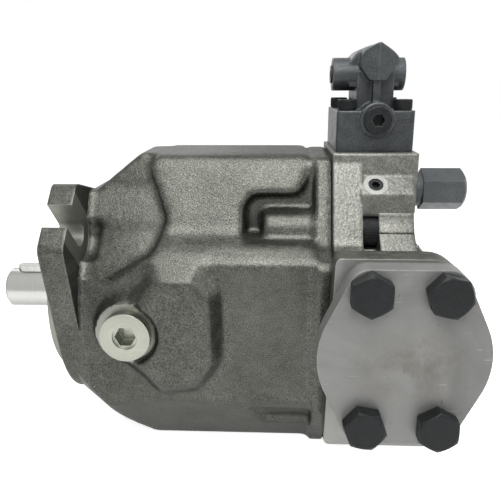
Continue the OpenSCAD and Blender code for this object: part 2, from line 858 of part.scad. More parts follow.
module rear_bearing_cup()
color(c_steel)
    difference()
    {
        rodx(rb_x0, rb_x1, rb_r - fit_c);
        rodx(rb_x0 + 1.5, rb_x1 - 1.5, rear_journal_r + 5.3);
        rodx(rb_x0 - 1, rb_x1 + 1, rear_journal_r + 4);
    }

module rear_rollers()
color(c_steel)
    for (k = [0:17])
        rotate([k * 20, 0, 0])
            translate([0, 0, rear_journal_r + 2.6])
                rodx(rb_x0 + 1.7, rb_x1 - 1.7, 2.4, n = 32);

spring_room = bore_pitch_r - bore_r - 2;
spring_x0 = block_x0 + 12;
spring_x1 = block_x1 - 10;
module cylinder_block()
color(c_steel)
    difference()
    {
        union()
        {
            rodx(block_x0 + 6, block_x1 - 4, block_r);
            rodx(block_x0, block_x0 + 6 + eps, bore_pitch_r + bore_r + 2, block_r);
            rodx(block_x1 - 4 - eps, block_x1, bore_pitch_r + 8);
        }
        // bore for the shaft and chamber of the block spring
        rodx(block_x0 - 1, block_x1 + 1, spline_r + run_c);
        rodx(spring_x0, spring_x1, spring_room);
        for (k = [0:11])
            rotate([k * 30, 0, 0])
                box(block_x0 - 1, block_x1 + 1, -1.6 - fit_c, 1.6 + fit_c, spline_r - 2, spline_r + 1.5 + fit_c);
        // holes for the hold-down pins
        for (k = [0:2])
            rotate([k * 120 + 20, 0, 0])
                translate([0, 0, spring_room - 2.2])
                    rodx(block_x0 - 1, spring_x0 + 1, 1.7, n = 24);
        // piston bores and the slots to the valve plate
        for (k = [0:pistons - 1])
            rotate([k * 360 / pistons, 0, 0])
            {
                translate([0, 0, bore_pitch_r])
                    rodx(block_x0 - 1, bore_floor, bore_r);
                sector(kidney_r0 + 0.5, kidney_r1 - 0.5, 78, 102, bore_floor - 1, block_x1 + 1);
            }
    }

module block_spring()
color(c_steel)
    coil(spring_x0 + 2.35, spring_x1 - 2.05, spring_room - 1.9, 1.2, 5);

// washers at both ends of the block spring and the three pins
module spring_seats()
color(c_steel)
{
    for (x = [spring_x0 + 0.3, spring_x1 - 2])
        difference()
        {
            rodx(x, x + 2, spring_room - 0.2);
            rodx(x - 1, x + 3, spline_r + 1.9);
        }
    for (k = [0:2])
        rotate([k * 120 + 20, 0, 0])
            translate([0, 0, spring_room - 2.2])
                rodx(pivot_x + 13.1, spring_x0 + 0.25, 1.5, n = 24);
}

module valve_plate()
color(c_bronze)
    difference()
    {
        rodx(block_x1, housing_len, bore_pitch_r + 12);
        rodx(block_x1 - 1, housing_len + 1, rb_r - 2);
        for (a = [125, -45])
            sector(kidney_r0, kidney_r1, a, a + (a > 0 ? 110 : 90), block_x1 - 1, housing_len + 1);
    }

module ball_at(r)
    translate([pivot_x, 0, 0])
        sphere(r, $fn = 64);

module retainer_ball()
color(c_steel)
    difference()
    {
        union()
        {
            intersection()
            {
                ball_at(guide_r);
                rodx(pivot_x - 5, pivot_x + 10, 30);
            }
            rodx(pivot_x + 8, pivot_x + 13, guide_r + 0.2);
        }
        rodx(pivot_x - 30, pivot_x + 30, shaft_r + fit_c);
    }

module retainer_plate()
color(c_bronze)
    difference()
    {
        rodx(pivot_x - sole_h + 3.6, pivot_x - 0.8, retainer_r);
        ball_at(guide_r + run_c);
        for (k = [0:pistons - 1])
            rotate([k * 360 / pistons, 0, 0])
                translate([0, 0, ball_pitch_r])
                    rodx(pivot_x - 20, pivot_x + 20, neck_r + run_c);
    }

module piston_unit(i)
color(c_bright)
    rotate([(i - 1) * 360 / pistons, 0, 0])
        translate([0, 0, ball_pitch_r])
            difference()
            {
                union()
                {
                    translate([pivot_x, 0, 0])
                        sphere(ball_r, $fn = 48);
                    rodx(pivot_x, pivot_x + 10, ball_r * 0.58);
                    rodx(pivot_x + 8.5, pivot_x + 11, ball_r, piston_r);
                    rodx(pivot_x + 11 - eps, piston_x1, piston_r);
                }
                rodx(pivot_x + 22, piston_x1 + 1, piston_r * 0.6);
                rodx(pivot_x - 20, piston_x1, 1, n = 24);
            }

module slipper_unit(i)
color(c_bronze)
    rotate([(i - 1) * 360 / pistons, 0, 0])
        translate([0, 0, ball_pitch_r])
            difference()
            {
                union()
                {
                    rodx(pivot_x - sole_h, pivot_x - sole_h + 3.4, slipper_r);
                    rodx(pivot_x - sole_h, pivot_x + 3.2, neck_r);
                }
                translate([pivot_x, 0, 0])
                    sphere(ball_r + 0.1, $fn = 48);
                rodx(pivot_x - 20, pivot_x, 1, n = 24);
                rodx(pivot_x - sole_h - 1, pivot_x - sole_h + 0.8, slipper_r - 4);
            }

module piston_1() piston_unit(1);
module piston_2() piston_unit(2);
module piston_3() piston_unit(3);
module piston_4() piston_unit(4);
module piston_5() piston_unit(5);
module piston_6() piston_unit(6);
module piston_7() piston_unit(7);
module piston_8() piston_unit(8);
module piston_9() piston_unit(9);
module slipper_1() slipper_unit(1);
module slipper_2() slipper_unit(2);
module slipper_3() slipper_unit(3);
module slipper_4() slipper_unit(4);
module slipper_5() slipper_unit(5);
module slipper_6() slipper_unit(6);
module slipper_7() slipper_unit(7);
module slipper_8() slipper_unit(8);
module slipper_9() slipper_unit(9);

module swashplate()
color(c_steel)
{
    slot_y = shaft_r + 2.5;
    back_x = pivot_x - cradle_r;
    difference()
    {
        intersection()
        {
            translate([pivot_x, 0, 0])
                rody(-44, 44, cradle_r - 0.05, n = 96);
            box(back_x - 1, face_x, -60, 60, -60, 60);
            rodx(back_x - 1, face_x + 1, cradle_r - 1);
        }
        // the middle is cut back, so only the two cradle arms reach the shells
        box(back_x - 2, face_x - 17, -27.5, 27.5, -60, 60);
        // slot for the shaft at every tilt
        prism_y(-slot_y, slot_y, [[face_x + 1, -shaft_r - 6], [face_x + 1, shaft_r + 6],
            [face_x - 18, shaft_r + 14], [face_x - 18, -shaft_r - 14]]);
    }
    // lugs pushed by the stroking piston and the bias spring
    lug(stroke_z);
    mirror([0, 0, 1])
        lug(bias_z);
}

module lug(z)
{
    translate([pivot_x, 0, z])
        rody(-9, 9, lug_r);
    prism_y(-9, 9, [[face_x - 15, 36], [face_x - 1, 36], [face_x - 1, z - 8], [pivot_x + 3, z - 6],
        [pivot_x + 3, z], [pivot_x - 4, z + 4], [face_x - 15, z - 12]]);
}

module cradle_bearings()
color(c_bronze)
    for (s = [-1, 1])
        intersection()
        {
            difference()
            {
                translate([pivot_x, 0, 0])
                    rody(s > 0 ? 27 : -45, s > 0 ? 45 : -27, cradle_r + 2.5, n = 96);
                translate([pivot_x, 0, 0])
                    rody(-60, 60, cradle_r + 0.1, n = 96);
            }
            box(fb_x1 - 5, pivot_x - 32, -60, 60, -60, 60);
            rodx(0, pivot_x, 56);
        }

module stroking_piston()
color(c_bright)
    translate([0, 0, stroke_z])
        difference()
        {
            rodx(rod_x0, stroke_x1, stroke_r - run_c);
            rodx(rod_x0 + 12, stroke_x1 + 1, stroke_r * 0.5);
        }

module stroking_sleeve()
color(c_steel)
    translate([0, 0, stroke_z])
        difference()
        {
            rodx(block_x0 + 22, stop_x + 2, sleeve_r);
            rodx(block_x0 + 21, stop_x + 3, stroke_r);
        }

module bias_piston()
color(c_steel)
    translate([0, 0, -bias_z])
        difference()
        {
            union()
            {
                rodx(rod_x0, rod_x0 + 10, 10);
                rodx(rod_x0 + 6, rod_x0 + 10, 15.5);
                rodx(rod_x0 + 9, rod_x0 + 26, 8.6);
            }
            rodx(rod_x0 + 14, rod_x0 + 27, 5);
        }

module bias_spring()
color(c_steel)
    translate([0, 0, -bias_z])
        coil(rod_x0 + 10.05, housing_len + 7.95, 12, 2, 8);

module stop_screw()
color(c_black)
    translate([0, 0, stroke_z])
        difference()
        {
            union()
            {
                rodx(stop_x + 0.1, cap_x0 + cap_len - 9, 6);
                rodx(stop_x + 0.1, stop_x + 1.9, 9);
            }
            rodx(cap_x0 + cap_len - 14, cap_x0 + cap_len, 3.4, n = 6);
        }

module stop_cap()
color(c_black)
    translate([0, 0, stroke_z])
        difference()
        {
            union()
            {
                rodx(cover_top_x, cap_x0 + 1, cap_af / 2 - 0.6);
                intersection()
                {
                    hexx(cap_x0, cap_x0 + cap_len, cap_af);
                    union()
                    {
                        rodx(cap_x0 - 1, cap_x0 + cap_len - 3, cap_af);
                        rodx(cap_x0 + cap_len - 3 - eps, cap_x0 + cap_len,
                            cap_af / sqrt(3) + 0.6, cap_af / 2 - 2);
                    }
                }
            }
            rodx(cover_top_x - 1, cap_x0 + cap_len - 5, 7);
        }

// upper casting of the valve: front outline in X and Z, and its plan with a ridge in front
arch_pts = [[0, 10.6], [8.5, 5.5], [9.6, -2], [4.5, -9.5], [-4.5, -9.5], [-9.6, -2], [-8.5, 5.5]];
upper_pts = rounded([for (p = arch_pts) p + [spool_x, high_z]], [2, 4, 4, 3, 3, 4, 4]);
upper_plan = [for (p = [[0, -valve_front + 1], [12, -valve_front + 6], [12, valve_back + 2],
    [-12, valve_back + 2], [-12, -valve_front + 6]]) p + [spool_x, 0]];
module valve_body()
color(c_black)
    difference()
    {
        union()
        {
            prism_z(seat_z, seat_z + valve_h, rounded([[valve_x - valve_w / 2, -valve_front],
                [valve_x + valve_w / 2, -valve_front], [valve_x + valve_w / 2, valve_back],
                [valve_x - valve_w / 2, valve_back]], [2, 2, 2, 2]));
            // lower spool bore boss
            translate([spool_x, 0, low_z])
                rody(-valve_front - 2.5, valve_back + 4, 9.4);
            // neck with the middle rib
            box(spool_x - 10.3, spool_x + 10.3, -14, valve_back - 9, low_z, high_z - 4);
            box(spool_x - 2, spool_x + 2, -20, -13, low_z, high_z - 8);
            // upper spool bore boss, shoulder and pilot port boss
            intersection()
            {
                prism_y(-valve_front, valve_back + 2, upper_pts);
                prism_z(high_z - 20, high_z + 20, upper_plan);
            }
            intersection()
            {
                translate([spool_x, 0, high_z - 6])
                    rody(-11, valve_back - 10, 15.6);
                box(spool_x - 20, spool_x + 13, -30, 60, high_z - 13, high_z + 20);
            }
            translate([0, -3, high_z - 6])
                rodx(spool_x - 23.5, spool_x + 17, 9.1);
        }
        // spool bores
        translate([spool_x, 0, low_z])
        {
            rody(-valve_front - 4, valve_back - 14, spool_r + run_c);
            rody(-valve_front - 4, -valve_front + 9, 6);
            rody(valve_back - 14, valve_back + 5, 7);
        }
        translate([spool_x, 0, high_z])
        {
            rody(-valve_front + 7, valve_back - 14, spool_r + run_c);
            rody(valve_back - 14, valve_back + 5, 7);
        }
        // pilot port threads
        translate([0, -3, high_z - 6])
        {
            rodx(spool_x - 24, spool_x - 11, 5);
            rodx(spool_x + 11, spool_x + 18, 5);
        }
        // holes for the mounting screws
        for (p = valve_bolts)
            translate([p[0], p[1], 0])
                rodz(seat_z - 1, seat_z + valve_h + 1, 3.2);
    }

module valve_screws()
color(c_black)
    for (p = valve_bolts)
        translate([p[0], p[1], seat_z + valve_h])
            difference()
            {
                union()
                {
                    rodz(-valve_h - 13, 0, 3);
                    rodz(0, 6, 5);
                }
                rodz(3, 7, 2.9, n = 6);
            }

spool_y0 = -valve_front + 12;
spool_y1 = valve_back - 8;
module spool_shape()
    difference()
    {
        union()
        {
            rody(spool_y0, spool_y1, spool_r * 0.55);
            rody(spool_y0, spool_y0 + 9, spool_r);
            rody(spool_y0 + 15, spool_y0 + 24, spool_r);
            rody(valve_back - 22, valve_back - 16.5, spool_r);
            // spring plate
            rody(valve_back - 10, valve_back - 8, 6.2);
        }
        rody(spool_y0 - 1, spool_y0 + 4, 1.4, n = 24);
    }

module pressure_spool()
color(c_bright)
    translate([spool_x, 0, low_z])
        spool_shape();

module flow_spool()
color(c_bright)
    translate([spool_x, 0, high_z])
        spool_shape();

spring_y0 = valve_back - 8 + 0.05;
spring_y1 = valve_back + 18;
module valve_spring()
    rotate([0, 0, 90])
        coil(spring_y0, spring_y1 - 0.05, 4.6, 0.9, 7);

module pressure_spring()
color(c_steel)
    translate([spool_x, 0, low_z])
        valve_spring();

module flow_spring()
color(c_steel)
    translate([spool_x, 0, high_z])
        valve_spring();

// spring sleeve screwed into the valve, with the adjusting screw inside
adj_y0 = valve_back + 4;
module adjuster()
    difference()
    {
        union()
        {
            rody(spring_y1, spring_y1 + 3, 5.8);
            rody(spring_y1 + 2, adj_y0 + 38, 4);
        }
        hexy(adj_y0 + 33, adj_y0 + 39, 4);
    }

module pressure_adjuster()
color(c_steel)
    translate([spool_x, 0, low_z])
        adjuster();

module flow_adjuster()
color(c_steel)
    translate([spool_x, 0, high_z])
        adjuster();

// spring sleeves and lock nuts of the two adjusters, and the stop screw nut
module lock_nuts()
color(c_steel)
{
    for (z = [low_z, high_z])
        translate([spool_x, 0, z])
        {
            y0 = z == low_z ? valve_back + 4 : valve_back + 2;
            difference()
            {
                union()
                {
                    rody(valve_back - 6, y0 + 2, 7 - fit_c);
                    hexy(y0, spring_y1 + 9, 17);
                }
                rody(valve_back - 7, spring_y1 + 4.2, 6.2);
                rody(spring_y1 + 3, spring_y1 + 10, 4 + run_c);
            }
            difference()
            {
                hexy(spring_y1 + 9, spring_y1 + 14, 13);
                rody(spring_y1 + 8, spring_y1 + 15, 4 + run_c);
            }
        }
}

module spool_plug()
color(c_black)
    translate([spool_x, 0, low_z])
        difference()
        {
            union()
            {
                rody(-valve_front - 6, -valve_front - 2.5, 7.4);
                rody(-valve_front - 2.6, -valve_front + 8, 6 - fit_c);
            }
            hexy(-valve_front - 7, -valve_front, 6);
        }

module blanking_plugs()
color(c_black)
{
    // set screw in the cover
    translate(set_screw)
        rotate([set_tilt, 0, 0])
            difference()
            {
                rodz(-11, -0.6, 4);
                rodz(-4, 1, 2.3, n = 6);
            }
    // plugs of the pilot ports
    translate([0, -3, high_z - 6])
    {
        difference()
        {
            rodx(spool_x - 24.5, spool_x - 12, 5 - fit_c);
            rodx(spool_x - 25, spool_x - 20, 2.9, n = 6);
        }
        difference()
        {
            rodx(spool_x + 12, spool_x + 17.5, 5 - fit_c);
            rodx(spool_x + 14, spool_x + 18, 2.9, n = 6);
        }
    }
}

pump_housing();
end_cover();
static_seals();
cover_screws();
suction_plate();
suction_bolts();
drain_plug();
drive_shaft();
shaft_key();
shaft_seal();
seal_ring();
front_bearing_cup();
front_bearing_cone();
front_rollers();
rear_bearing_cup();
rear_rollers();
cylinder_block();
block_spring();
spring_seats();
valve_plate();
retainer_ball();
retainer_plate();
piston_1();
piston_2();
piston_3();
piston_4();
piston_5();
piston_6();
piston_7();
piston_8();
piston_9();
slipper_1();
slipper_2();
slipper_3();
slipper_4();
slipper_5();
slipper_6();
slipper_7();
slipper_8();
slipper_9();
swashplate();
cradle_bearings();
stroking_piston();
stroking_sleeve();
bias_piston();
bias_spring();
stop_screw();
stop_cap();
valve_body();
valve_screws();
pressure_spool();
flow_spool();
pressure_spring();
flow_spring();
pressure_adjuster();
flow_adjuster();
spool_plug();
lock_nuts();
blanking_plugs();
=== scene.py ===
"""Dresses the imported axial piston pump: camera, floor, light, small repeated details and finishes."""

import json
import math

import bmesh
import bpy
from mathutils import Euler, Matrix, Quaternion, Vector


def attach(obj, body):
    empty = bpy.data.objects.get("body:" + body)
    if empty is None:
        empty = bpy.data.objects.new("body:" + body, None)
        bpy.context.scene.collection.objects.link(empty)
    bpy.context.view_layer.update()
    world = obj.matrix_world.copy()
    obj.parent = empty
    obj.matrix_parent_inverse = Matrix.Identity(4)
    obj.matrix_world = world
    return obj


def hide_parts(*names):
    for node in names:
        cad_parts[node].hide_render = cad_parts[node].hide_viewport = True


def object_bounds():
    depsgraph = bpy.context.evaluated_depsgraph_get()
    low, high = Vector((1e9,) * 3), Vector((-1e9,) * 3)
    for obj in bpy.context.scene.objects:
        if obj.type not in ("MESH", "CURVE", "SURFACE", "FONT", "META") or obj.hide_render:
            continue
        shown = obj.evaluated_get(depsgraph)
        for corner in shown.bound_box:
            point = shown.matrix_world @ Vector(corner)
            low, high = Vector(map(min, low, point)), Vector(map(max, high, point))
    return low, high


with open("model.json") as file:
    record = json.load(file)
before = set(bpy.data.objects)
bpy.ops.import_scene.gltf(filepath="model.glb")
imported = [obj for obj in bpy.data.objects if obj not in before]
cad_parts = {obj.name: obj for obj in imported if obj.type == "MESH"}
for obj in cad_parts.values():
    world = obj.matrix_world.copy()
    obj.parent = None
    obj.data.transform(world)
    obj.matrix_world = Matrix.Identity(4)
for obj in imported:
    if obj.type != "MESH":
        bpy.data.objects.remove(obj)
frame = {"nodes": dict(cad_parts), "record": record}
cad_low, cad_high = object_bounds()

MM = 0.001

# The camera that took the photograph, fitted to the port pattern and the shaft.
PHOTO_SIDE_PX = 500
FOCAL_PX = 577.9
SENSOR_MM = 36.0
CAMERA_PLACE = Vector((122.2, -354.1, 129.2)) * MM
CAMERA_YAW = math.radians(2.714)
CAMERA_PITCH = math.radians(16.152)
CAMERA_ROLL = math.radians(-0.246)

# Places on the pump as the part's source gives them; the bolt slots lie on a diagonal of Y and Z.
DIAGONAL = math.sqrt(0.5)
FLANGE_BACK_X = 13.5 * MM
SLOT_HALF = 7.0 * MM
SLOT_BOTTOM_R = 63.0 * MM
SPOT_HALF = 15.6 * MM
SPOT_FROM_R = 54.0 * MM
DRAIN_AXIS = Vector((42.0, 0.0, -0.8)) * MM
DRAIN_FACE_Y = 70.0 * MM
DRAIN_FACE_R = 17.6 * MM
SUCTION_AXIS = Vector((184.3, 0.0, 0.0)) * MM
PAD_FACE_Y = 86.0 * MM
SET_SCREW = Vector((176.4, -37.6, 75.6)) * MM
SET_SCREW_SPOT_R = 6.75 * MM
VALVE_SEAT_Z = 91.6 * MM

# Where the small details stand, in millimetres.
COVER_SCREWS = [(-35.5, 49.5), (35.5, 49.5), (-36.0, -57.0), (36.0, -57.0)]
COVER_SEAT_X = 169.0
VALVE_SCREWS = [(161.0, -18.5), (161.0, 26.5), (192.0, -18.5), (192.0, 26.5)]
VALVE_TOP_Z = 114.0
ADJUSTERS = {"pressure_adjuster_body": 109.2, "flow_adjuster_body": 139.6}
ADJUSTER_X = 177.0
ADJUSTER_THREAD_Y = 65.6


def new_object(name, data):
    """An object with this data, in the scene."""
    made = bpy.data.objects.new(name, data)
    bpy.context.scene.collection.objects.link(made)
    return made


def make_camera():
    """The photograph's camera, looking along +Y and down at the pump."""
    data = bpy.data.cameras.new("photo_camera")
    data.sensor_width = SENSOR_MM
    data.lens = FOCAL_PX * SENSOR_MM / PHOTO_SIDE_PX
    data.clip_start = 0.01
    data.clip_end = 50.0
    camera = new_object("photo_camera", data)
    camera.location = CAMERA_PLACE
    camera.rotation_mode = "QUATERNION"
    level = Euler((math.pi / 2 - CAMERA_PITCH, 0.0, CAMERA_YAW)).to_quaternion()
    camera.rotation_quaternion = level @ Quaternion((0.0, 0.0, 1.0), CAMERA_ROLL)
    bpy.context.scene.camera = camera


# Node helpers, shared by the shader groups, the materials and the detail trees.


def add_node(tree, kind, **values):
    """A node of this kind, with its plain properties set from the keywords."""
    node = tree.nodes.new(kind)
    for name, value in values.items():
        setattr(node, name, value)
    return node


def feed(tree, source, target):
    """Links a socket, or sets a plain value, on an input socket."""
    if isinstance(source, bpy.types.NodeSocket):
        tree.links.new(source, target)
    else:
        target.default_value = source


def object_place(tree):
    """Object coordinates, which on this pump are its own metres."""
    return add_node(tree, "ShaderNodeTexCoord").outputs["Object"]


def noise(tree, vector, scale, detail=4.0, roughness=0.55, distortion=0.0):
    """Factor of a noise texture on the given coordinates."""
    node = add_node(tree, "ShaderNodeTexNoise")
    feed(tree, vector, node.inputs["Vector"])
    feed(tree, scale, node.inputs["Scale"])
    node.inputs["Detail"].default_value = detail
    node.inputs["Roughness"].default_value = roughness
    node.inputs["Distortion"].default_value = distortion
    return node.outputs["Fac"]


def remap(tree, value, low, high, out_low=0.0, out_high=1.0):
    """Clamped straight-line change of range."""
    node = add_node(tree, "ShaderNodeMapRange")
    feed(tree, value, node.inputs["Value"])
    feed(tree, low, node.inputs["From Min"])
    feed(tree, high, node.inputs["From Max"])
    feed(tree, out_low, node.inputs["To Min"])
    feed(tree, out_high, node.inputs["To Max"])
    return node.outputs["Result"]


def math_of(tree, operation, first, second=0.0, third=0.0):
    """One Math node."""
    node = add_node(tree, "ShaderNodeMath", operation=operation)
    feed(tree, first, node.inputs[0])
    feed(tree, second, node.inputs[1])
    feed(tree, third, node.inputs[2])
    return node.outputs[0]


def product(tree, *values):
    """All the values multiplied."""
    total = values[0]
    for value in values[1:]:
        total = math_of(tree, "MULTIPLY", total, value)
    return total


def most(tree, *values):
    """The largest of the values."""
    largest = values[0]
    for value in values[1:]:
        largest = math_of(tree, "MAXIMUM", largest, value)
    return largest


def vector_of(tree, operation, first, second=(0.0, 0.0, 0.0)):
    """One Vector Math node; its vector output, or its value for DOT_PRODUCT and LENGTH."""
    node = add_node(tree, "ShaderNodeVectorMath", operation=operation)
    feed(tree, first, node.inputs[0])
    if operation == "SCALE":
        feed(tree, second, node.inputs["Scale"])
    elif operation != "LENGTH":
        feed(tree, second, node.inputs[1])
    return node.outputs["Value" if operation in ("DOT_PRODUCT", "LENGTH") else "Vector"]


def mix_colour(tree, factor, first, second):
    """One colour Mix node."""
    node = add_node(tree, "ShaderNodeMix", data_type="RGBA")
    feed(tree, factor, node.inputs[0])
    feed(tree, first, node.inputs[6])
    feed(tree, second, node.inputs[7])
    return node.outputs[2]


def mix_value(tree, factor, first, second):
    """One value Mix node."""
    node = add_node(tree, "ShaderNodeMix", data_type="FLOAT")
    feed(tree, factor, node.inputs[0])
    feed(tree, first, node.inputs[2])
    feed(tree, second, node.inputs[3])
    return node.outputs[0]


def split(tree, vector):
    """X, Y and Z of a vector."""
    node = add_node(tree, "ShaderNodeSeparateXYZ")
    feed(tree, vector, node.inputs[0])
    return node.outputs[0], node.outputs[1], node.outputs[2]


def new_group(name, inputs, outputs):
    """An empty shader group with named sockets; returns the tree and its two ends."""
    tree = bpy.data.node_groups.new(name, "ShaderNodeTree")
    for label, kind, value in inputs:
        socket = tree.interface.new_socket(label, in_out="INPUT", socket_type=kind)
        socket.default_value = value
    for label, kind in outputs:
        tree.interface.new_socket(label, in_out="OUTPUT", socket_type=kind)
    return tree, add_node(tree, "NodeGroupInput").outputs, add_node(tree, "NodeGroupOutput").inputs


FLOAT, COLOUR, VECTOR = "NodeSocketFloat", "NodeSocketColor", "NodeSocketVector"


# Shader groups that several finishes share.


def make_rounded_edges_group():
    """Rounds sharp edges in the shading and gives a broken-up mask of them for wear and a painted edge
    highlight.
    """
    tree, ins, outs = new_group(
        "rounded_edges",
        [("Radius", FLOAT, 0.001), ("Wear Breakup", FLOAT, 140.0)],
        [("Normal", VECTOR), ("Edge", FLOAT)],
    )
    bevel = add_node(tree, "ShaderNodeBevel", samples=8)
    tree.links.new(ins["Radius"], bevel.inputs["Radius"])
    flat = add_node(tree, "ShaderNodeNewGeometry").outputs["Normal"]
    bent = remap(tree, vector_of(tree, "DOT_PRODUCT", bevel.outputs["Normal"], flat), 0.995, 0.80)
    patches = remap(tree, noise(tree, object_place(tree), ins["Wear Breakup"], 5.0, 0.7), 0.38, 0.64)
    tree.links.new(bevel.outputs["Normal"], outs["Normal"])
    tree.links.new(product(tree, bent, patches), outs["Edge"])
    return tree


def make_cast_skin_group():
    """Sand-cast skin: broad mottling, dense fine grain and small bright specks."""
    tree, ins, outs = new_group(
        "cast_skin",
        [
            ("Dark", COLOUR, (0.05, 0.05, 0.05, 1)),
            ("Light", COLOUR, (0.15, 0.15, 0.15, 1)),
            ("Speck", COLOUR, (0.4, 0.4, 0.4, 1)),
            ("Speck Amount", FLOAT, 0.5),
            ("Grain Contrast", FLOAT, 0.5),
            ("Grain Scale", FLOAT, 1500.0),
            ("Smoothness", FLOAT, 0.0),
        ],
        [("Colour", COLOUR), ("Roughness", FLOAT), ("Height", FLOAT)],
    )
    place = object_place(tree)
    broad = remap(tree, noise(tree, place, 26.0, 6.0, 0.6), 0.34, 0.66)
    middle = noise(tree, place, 210.0, 5.0, 0.65)
    grain = noise(tree, place, ins["Grain Scale"], 2.5, 0.72)
    fine = noise(tree, place, math_of(tree, "MULTIPLY", ins["Grain Scale"], 1.9), 1.0)
    blotch = math_of(
        tree, "ADD", product(tree, broad, 0.55), product(tree, remap(tree, middle, 0.34, 0.68), 0.45)
    )
    skin = mix_colour(tree, blotch, ins["Dark"], ins["Light"])
    swing = remap(tree, grain, 0.28, 0.72, -1.0, 1.0)
    tone = math_of(tree, "ADD", product(tree, swing, ins["Grain Contrast"]), 1.0)
    skin = vector_of(tree, "SCALE", skin, tone)
    glint = product(tree, remap(tree, fine, 0.60, 0.76), ins["Speck Amount"])
    tree.links.new(mix_colour(tree, glint, skin, ins["Speck"]), outs["Colour"])
    rough = math_of(tree, "SUBTRACT", remap(tree, middle, 0.3, 0.7, 0.50, 0.70), ins["Smoothness"])
    tree.links.new(rough, outs["Roughness"])
    sand = add_node(tree, "ShaderNodeTexVoronoi", feature="SMOOTH_F1")
    tree.links.new(place, sand.inputs["Vector"])
    tree.links.new(product(tree, ins["Grain Scale"], 0.6), sand.inputs["Scale"])
    relief = math_of(tree, "ADD", product(tree, middle, 0.55), product(tree, grain, 0.30))
    relief = math_of(tree, "SUBTRACT", relief, product(tree, sand.outputs["Distance"], 0.22))
    tree.links.new(relief, outs["Height"])
    return tree


def make_turned_rings_group():
    """Tool marks of a turned piece: rings about an axis and circles on its end faces."""
    tree, ins, outs = new_group(
        "turned_rings",
        [
            ("Centre", VECTOR, (0.0, 0.0, 0.0)),
            ("Axis", VECTOR, (1.0, 0.0, 0.0)),
            ("Fineness", FLOAT, 2600.0),
        ],
        [("Marks", FLOAT)],
    )
    arm = vector_of(tree, "SUBTRACT", object_place(tree), ins["Centre"])
    along = vector_of(tree, "DOT_PRODUCT", arm, ins["Axis"])
    foot = vector_of(tree, "SCALE", ins["Axis"], along)
    across = vector_of(tree, "LENGTH", vector_of(tree, "SUBTRACT", arm, foot))
    spiral = add_node(tree, "ShaderNodeCombineXYZ")
    tree.links.new(product(tree, along, ins["Fineness"]), spiral.inputs[0])
    tree.links.new(product(tree, across, ins["Fineness"]), spiral.inputs[1])
    tree.links.new(noise(tree, spiral.outputs[0], 1.0, 2.0, 0.6), outs["Marks"])
    return tree


def make_worked_metal_group():
    """Machined metal from its tool marks: tone, stains and a few scratches."""
    tree, ins, outs = new_group(
        "worked_metal",
        [
            ("Clean", COLOUR, (0.6, 0.6, 0.6, 1)),
            ("Stained", COLOUR, (0.3, 0.3, 0.3, 1)),
            ("Marks", FLOAT, 0.5),
            ("Mark Depth", FLOAT, 0.12),
            ("Stain Scale", FLOAT, 30.0),
            ("Stain Amount", FLOAT, 0.5),
            ("Scratches", FLOAT, 0.3),
            ("Base Roughness", FLOAT, 0.3),
        ],
        [("Colour", COLOUR), ("Roughness", FLOAT), ("Height", FLOAT)],
    )
    place = object_place(tree)
    stain = remap(tree, noise(tree, place, ins["Stain Scale"], 7.0, 0.64, 0.5), 0.44, 0.68)
    stain = product(tree, stain, ins["Stain Amount"])
    base = mix_colour(tree, stain, ins["Clean"], ins["Stained"])
    thin = []
    for turn in (0.5, 1.4, 2.5):
        way = add_node(tree, "ShaderNodeMapping")
        tree.links.new(place, way.inputs["Vector"])
        way.inputs["Rotation"].default_value = (turn * 0.6, turn, turn * 0.3)
        way.inputs["Scale"].default_value = (60.0, 700.0, 700.0)
        thin.append(remap(tree, noise(tree, way.outputs["Vector"], 1.0, 1.0), 0.74, 0.80))
    scratch = product(tree, most(tree, *thin), ins["Scratches"])
    colour = mix_colour(tree, scratch, base, (0.62, 0.62, 0.60, 1.0))
    swing = remap(tree, ins["Marks"], 0.25, 0.75, -1.0, 1.0)
    tone = math_of(tree, "ADD", product(tree, swing, ins["Mark Depth"]), 1.0)
    tree.links.new(vector_of(tree, "SCALE", colour, tone), outs["Colour"])
    rough = math_of(tree, "ADD", ins["Base Roughness"], product(tree, stain, 0.2))
    rough = math_of(tree, "ADD", rough, product(tree, swing, 0.06))
    tree.links.new(rough, outs["Roughness"])
    tree.links.new(math_of(tree, "SUBTRACT", ins["Marks"], scratch), outs["Height"])
    return tree


def make_painted_corner_shade_group():
    """Painted shade: darkens corners by their ambient occlusion, broken into patches."""
    tree, ins, outs = new_group("corner_grime", [("Reach", FLOAT, 0.012)], [("Grime", FLOAT)])
    corners = add_node(tree, "ShaderNodeAmbientOcclusion", samples=6)
    tree.links.new(ins["Reach"], corners.inputs["Distance"])
    shut = remap(tree, corners.outputs["AO"], 0.85, 0.30)
    patches = remap(tree, noise(tree, object_place(tree), 90.0, 5.0, 0.65), 0.25, 0.70, 0.55, 1.0)
    tree.links.new(product(tree, shut, patches), outs["Grime"])
    return tree


ROUNDED_EDGES = make_rounded_edges_group()
CAST_SKIN = make_cast_skin_group()
TURNED_RINGS = make_turned_rings_group()
WORKED_METAL = make_worked_metal_group()
PAINTED_CORNER_SHADE = make_painted_corner_shade_group()


# Finishes.


def new_material(name):
    """An empty material; returns it with its tree and its Principled shader."""
    material = bpy.data.materials.new(name)
    material.use_nodes = True
    tree = material.node_tree
    return material, tree, tree.nodes["Principled BSDF"]


def place_group(tree, group, **values):
    """Puts a shared group into a material with its own values or links."""
    node = add_node(tree, "ShaderNodeGroup")
    node.node_tree = group
    for name, value in values.items():
        feed(tree, value, node.inputs[name.replace("_", " ")])
    return node.outputs


def grey(value, tint=(1.0, 1.0, 1.0)):
    """A grey with a slight tint."""
    return (value * tint[0], value * tint[1], value * tint[2], 1.0)


IRON = (1.0, 1.02, 0.90)
COVER = (1.0, 1.005, 0.91)
OXIDE = (0.90, 1.0, 1.04)
STEEL = (1.0, 1.0, 0.96)


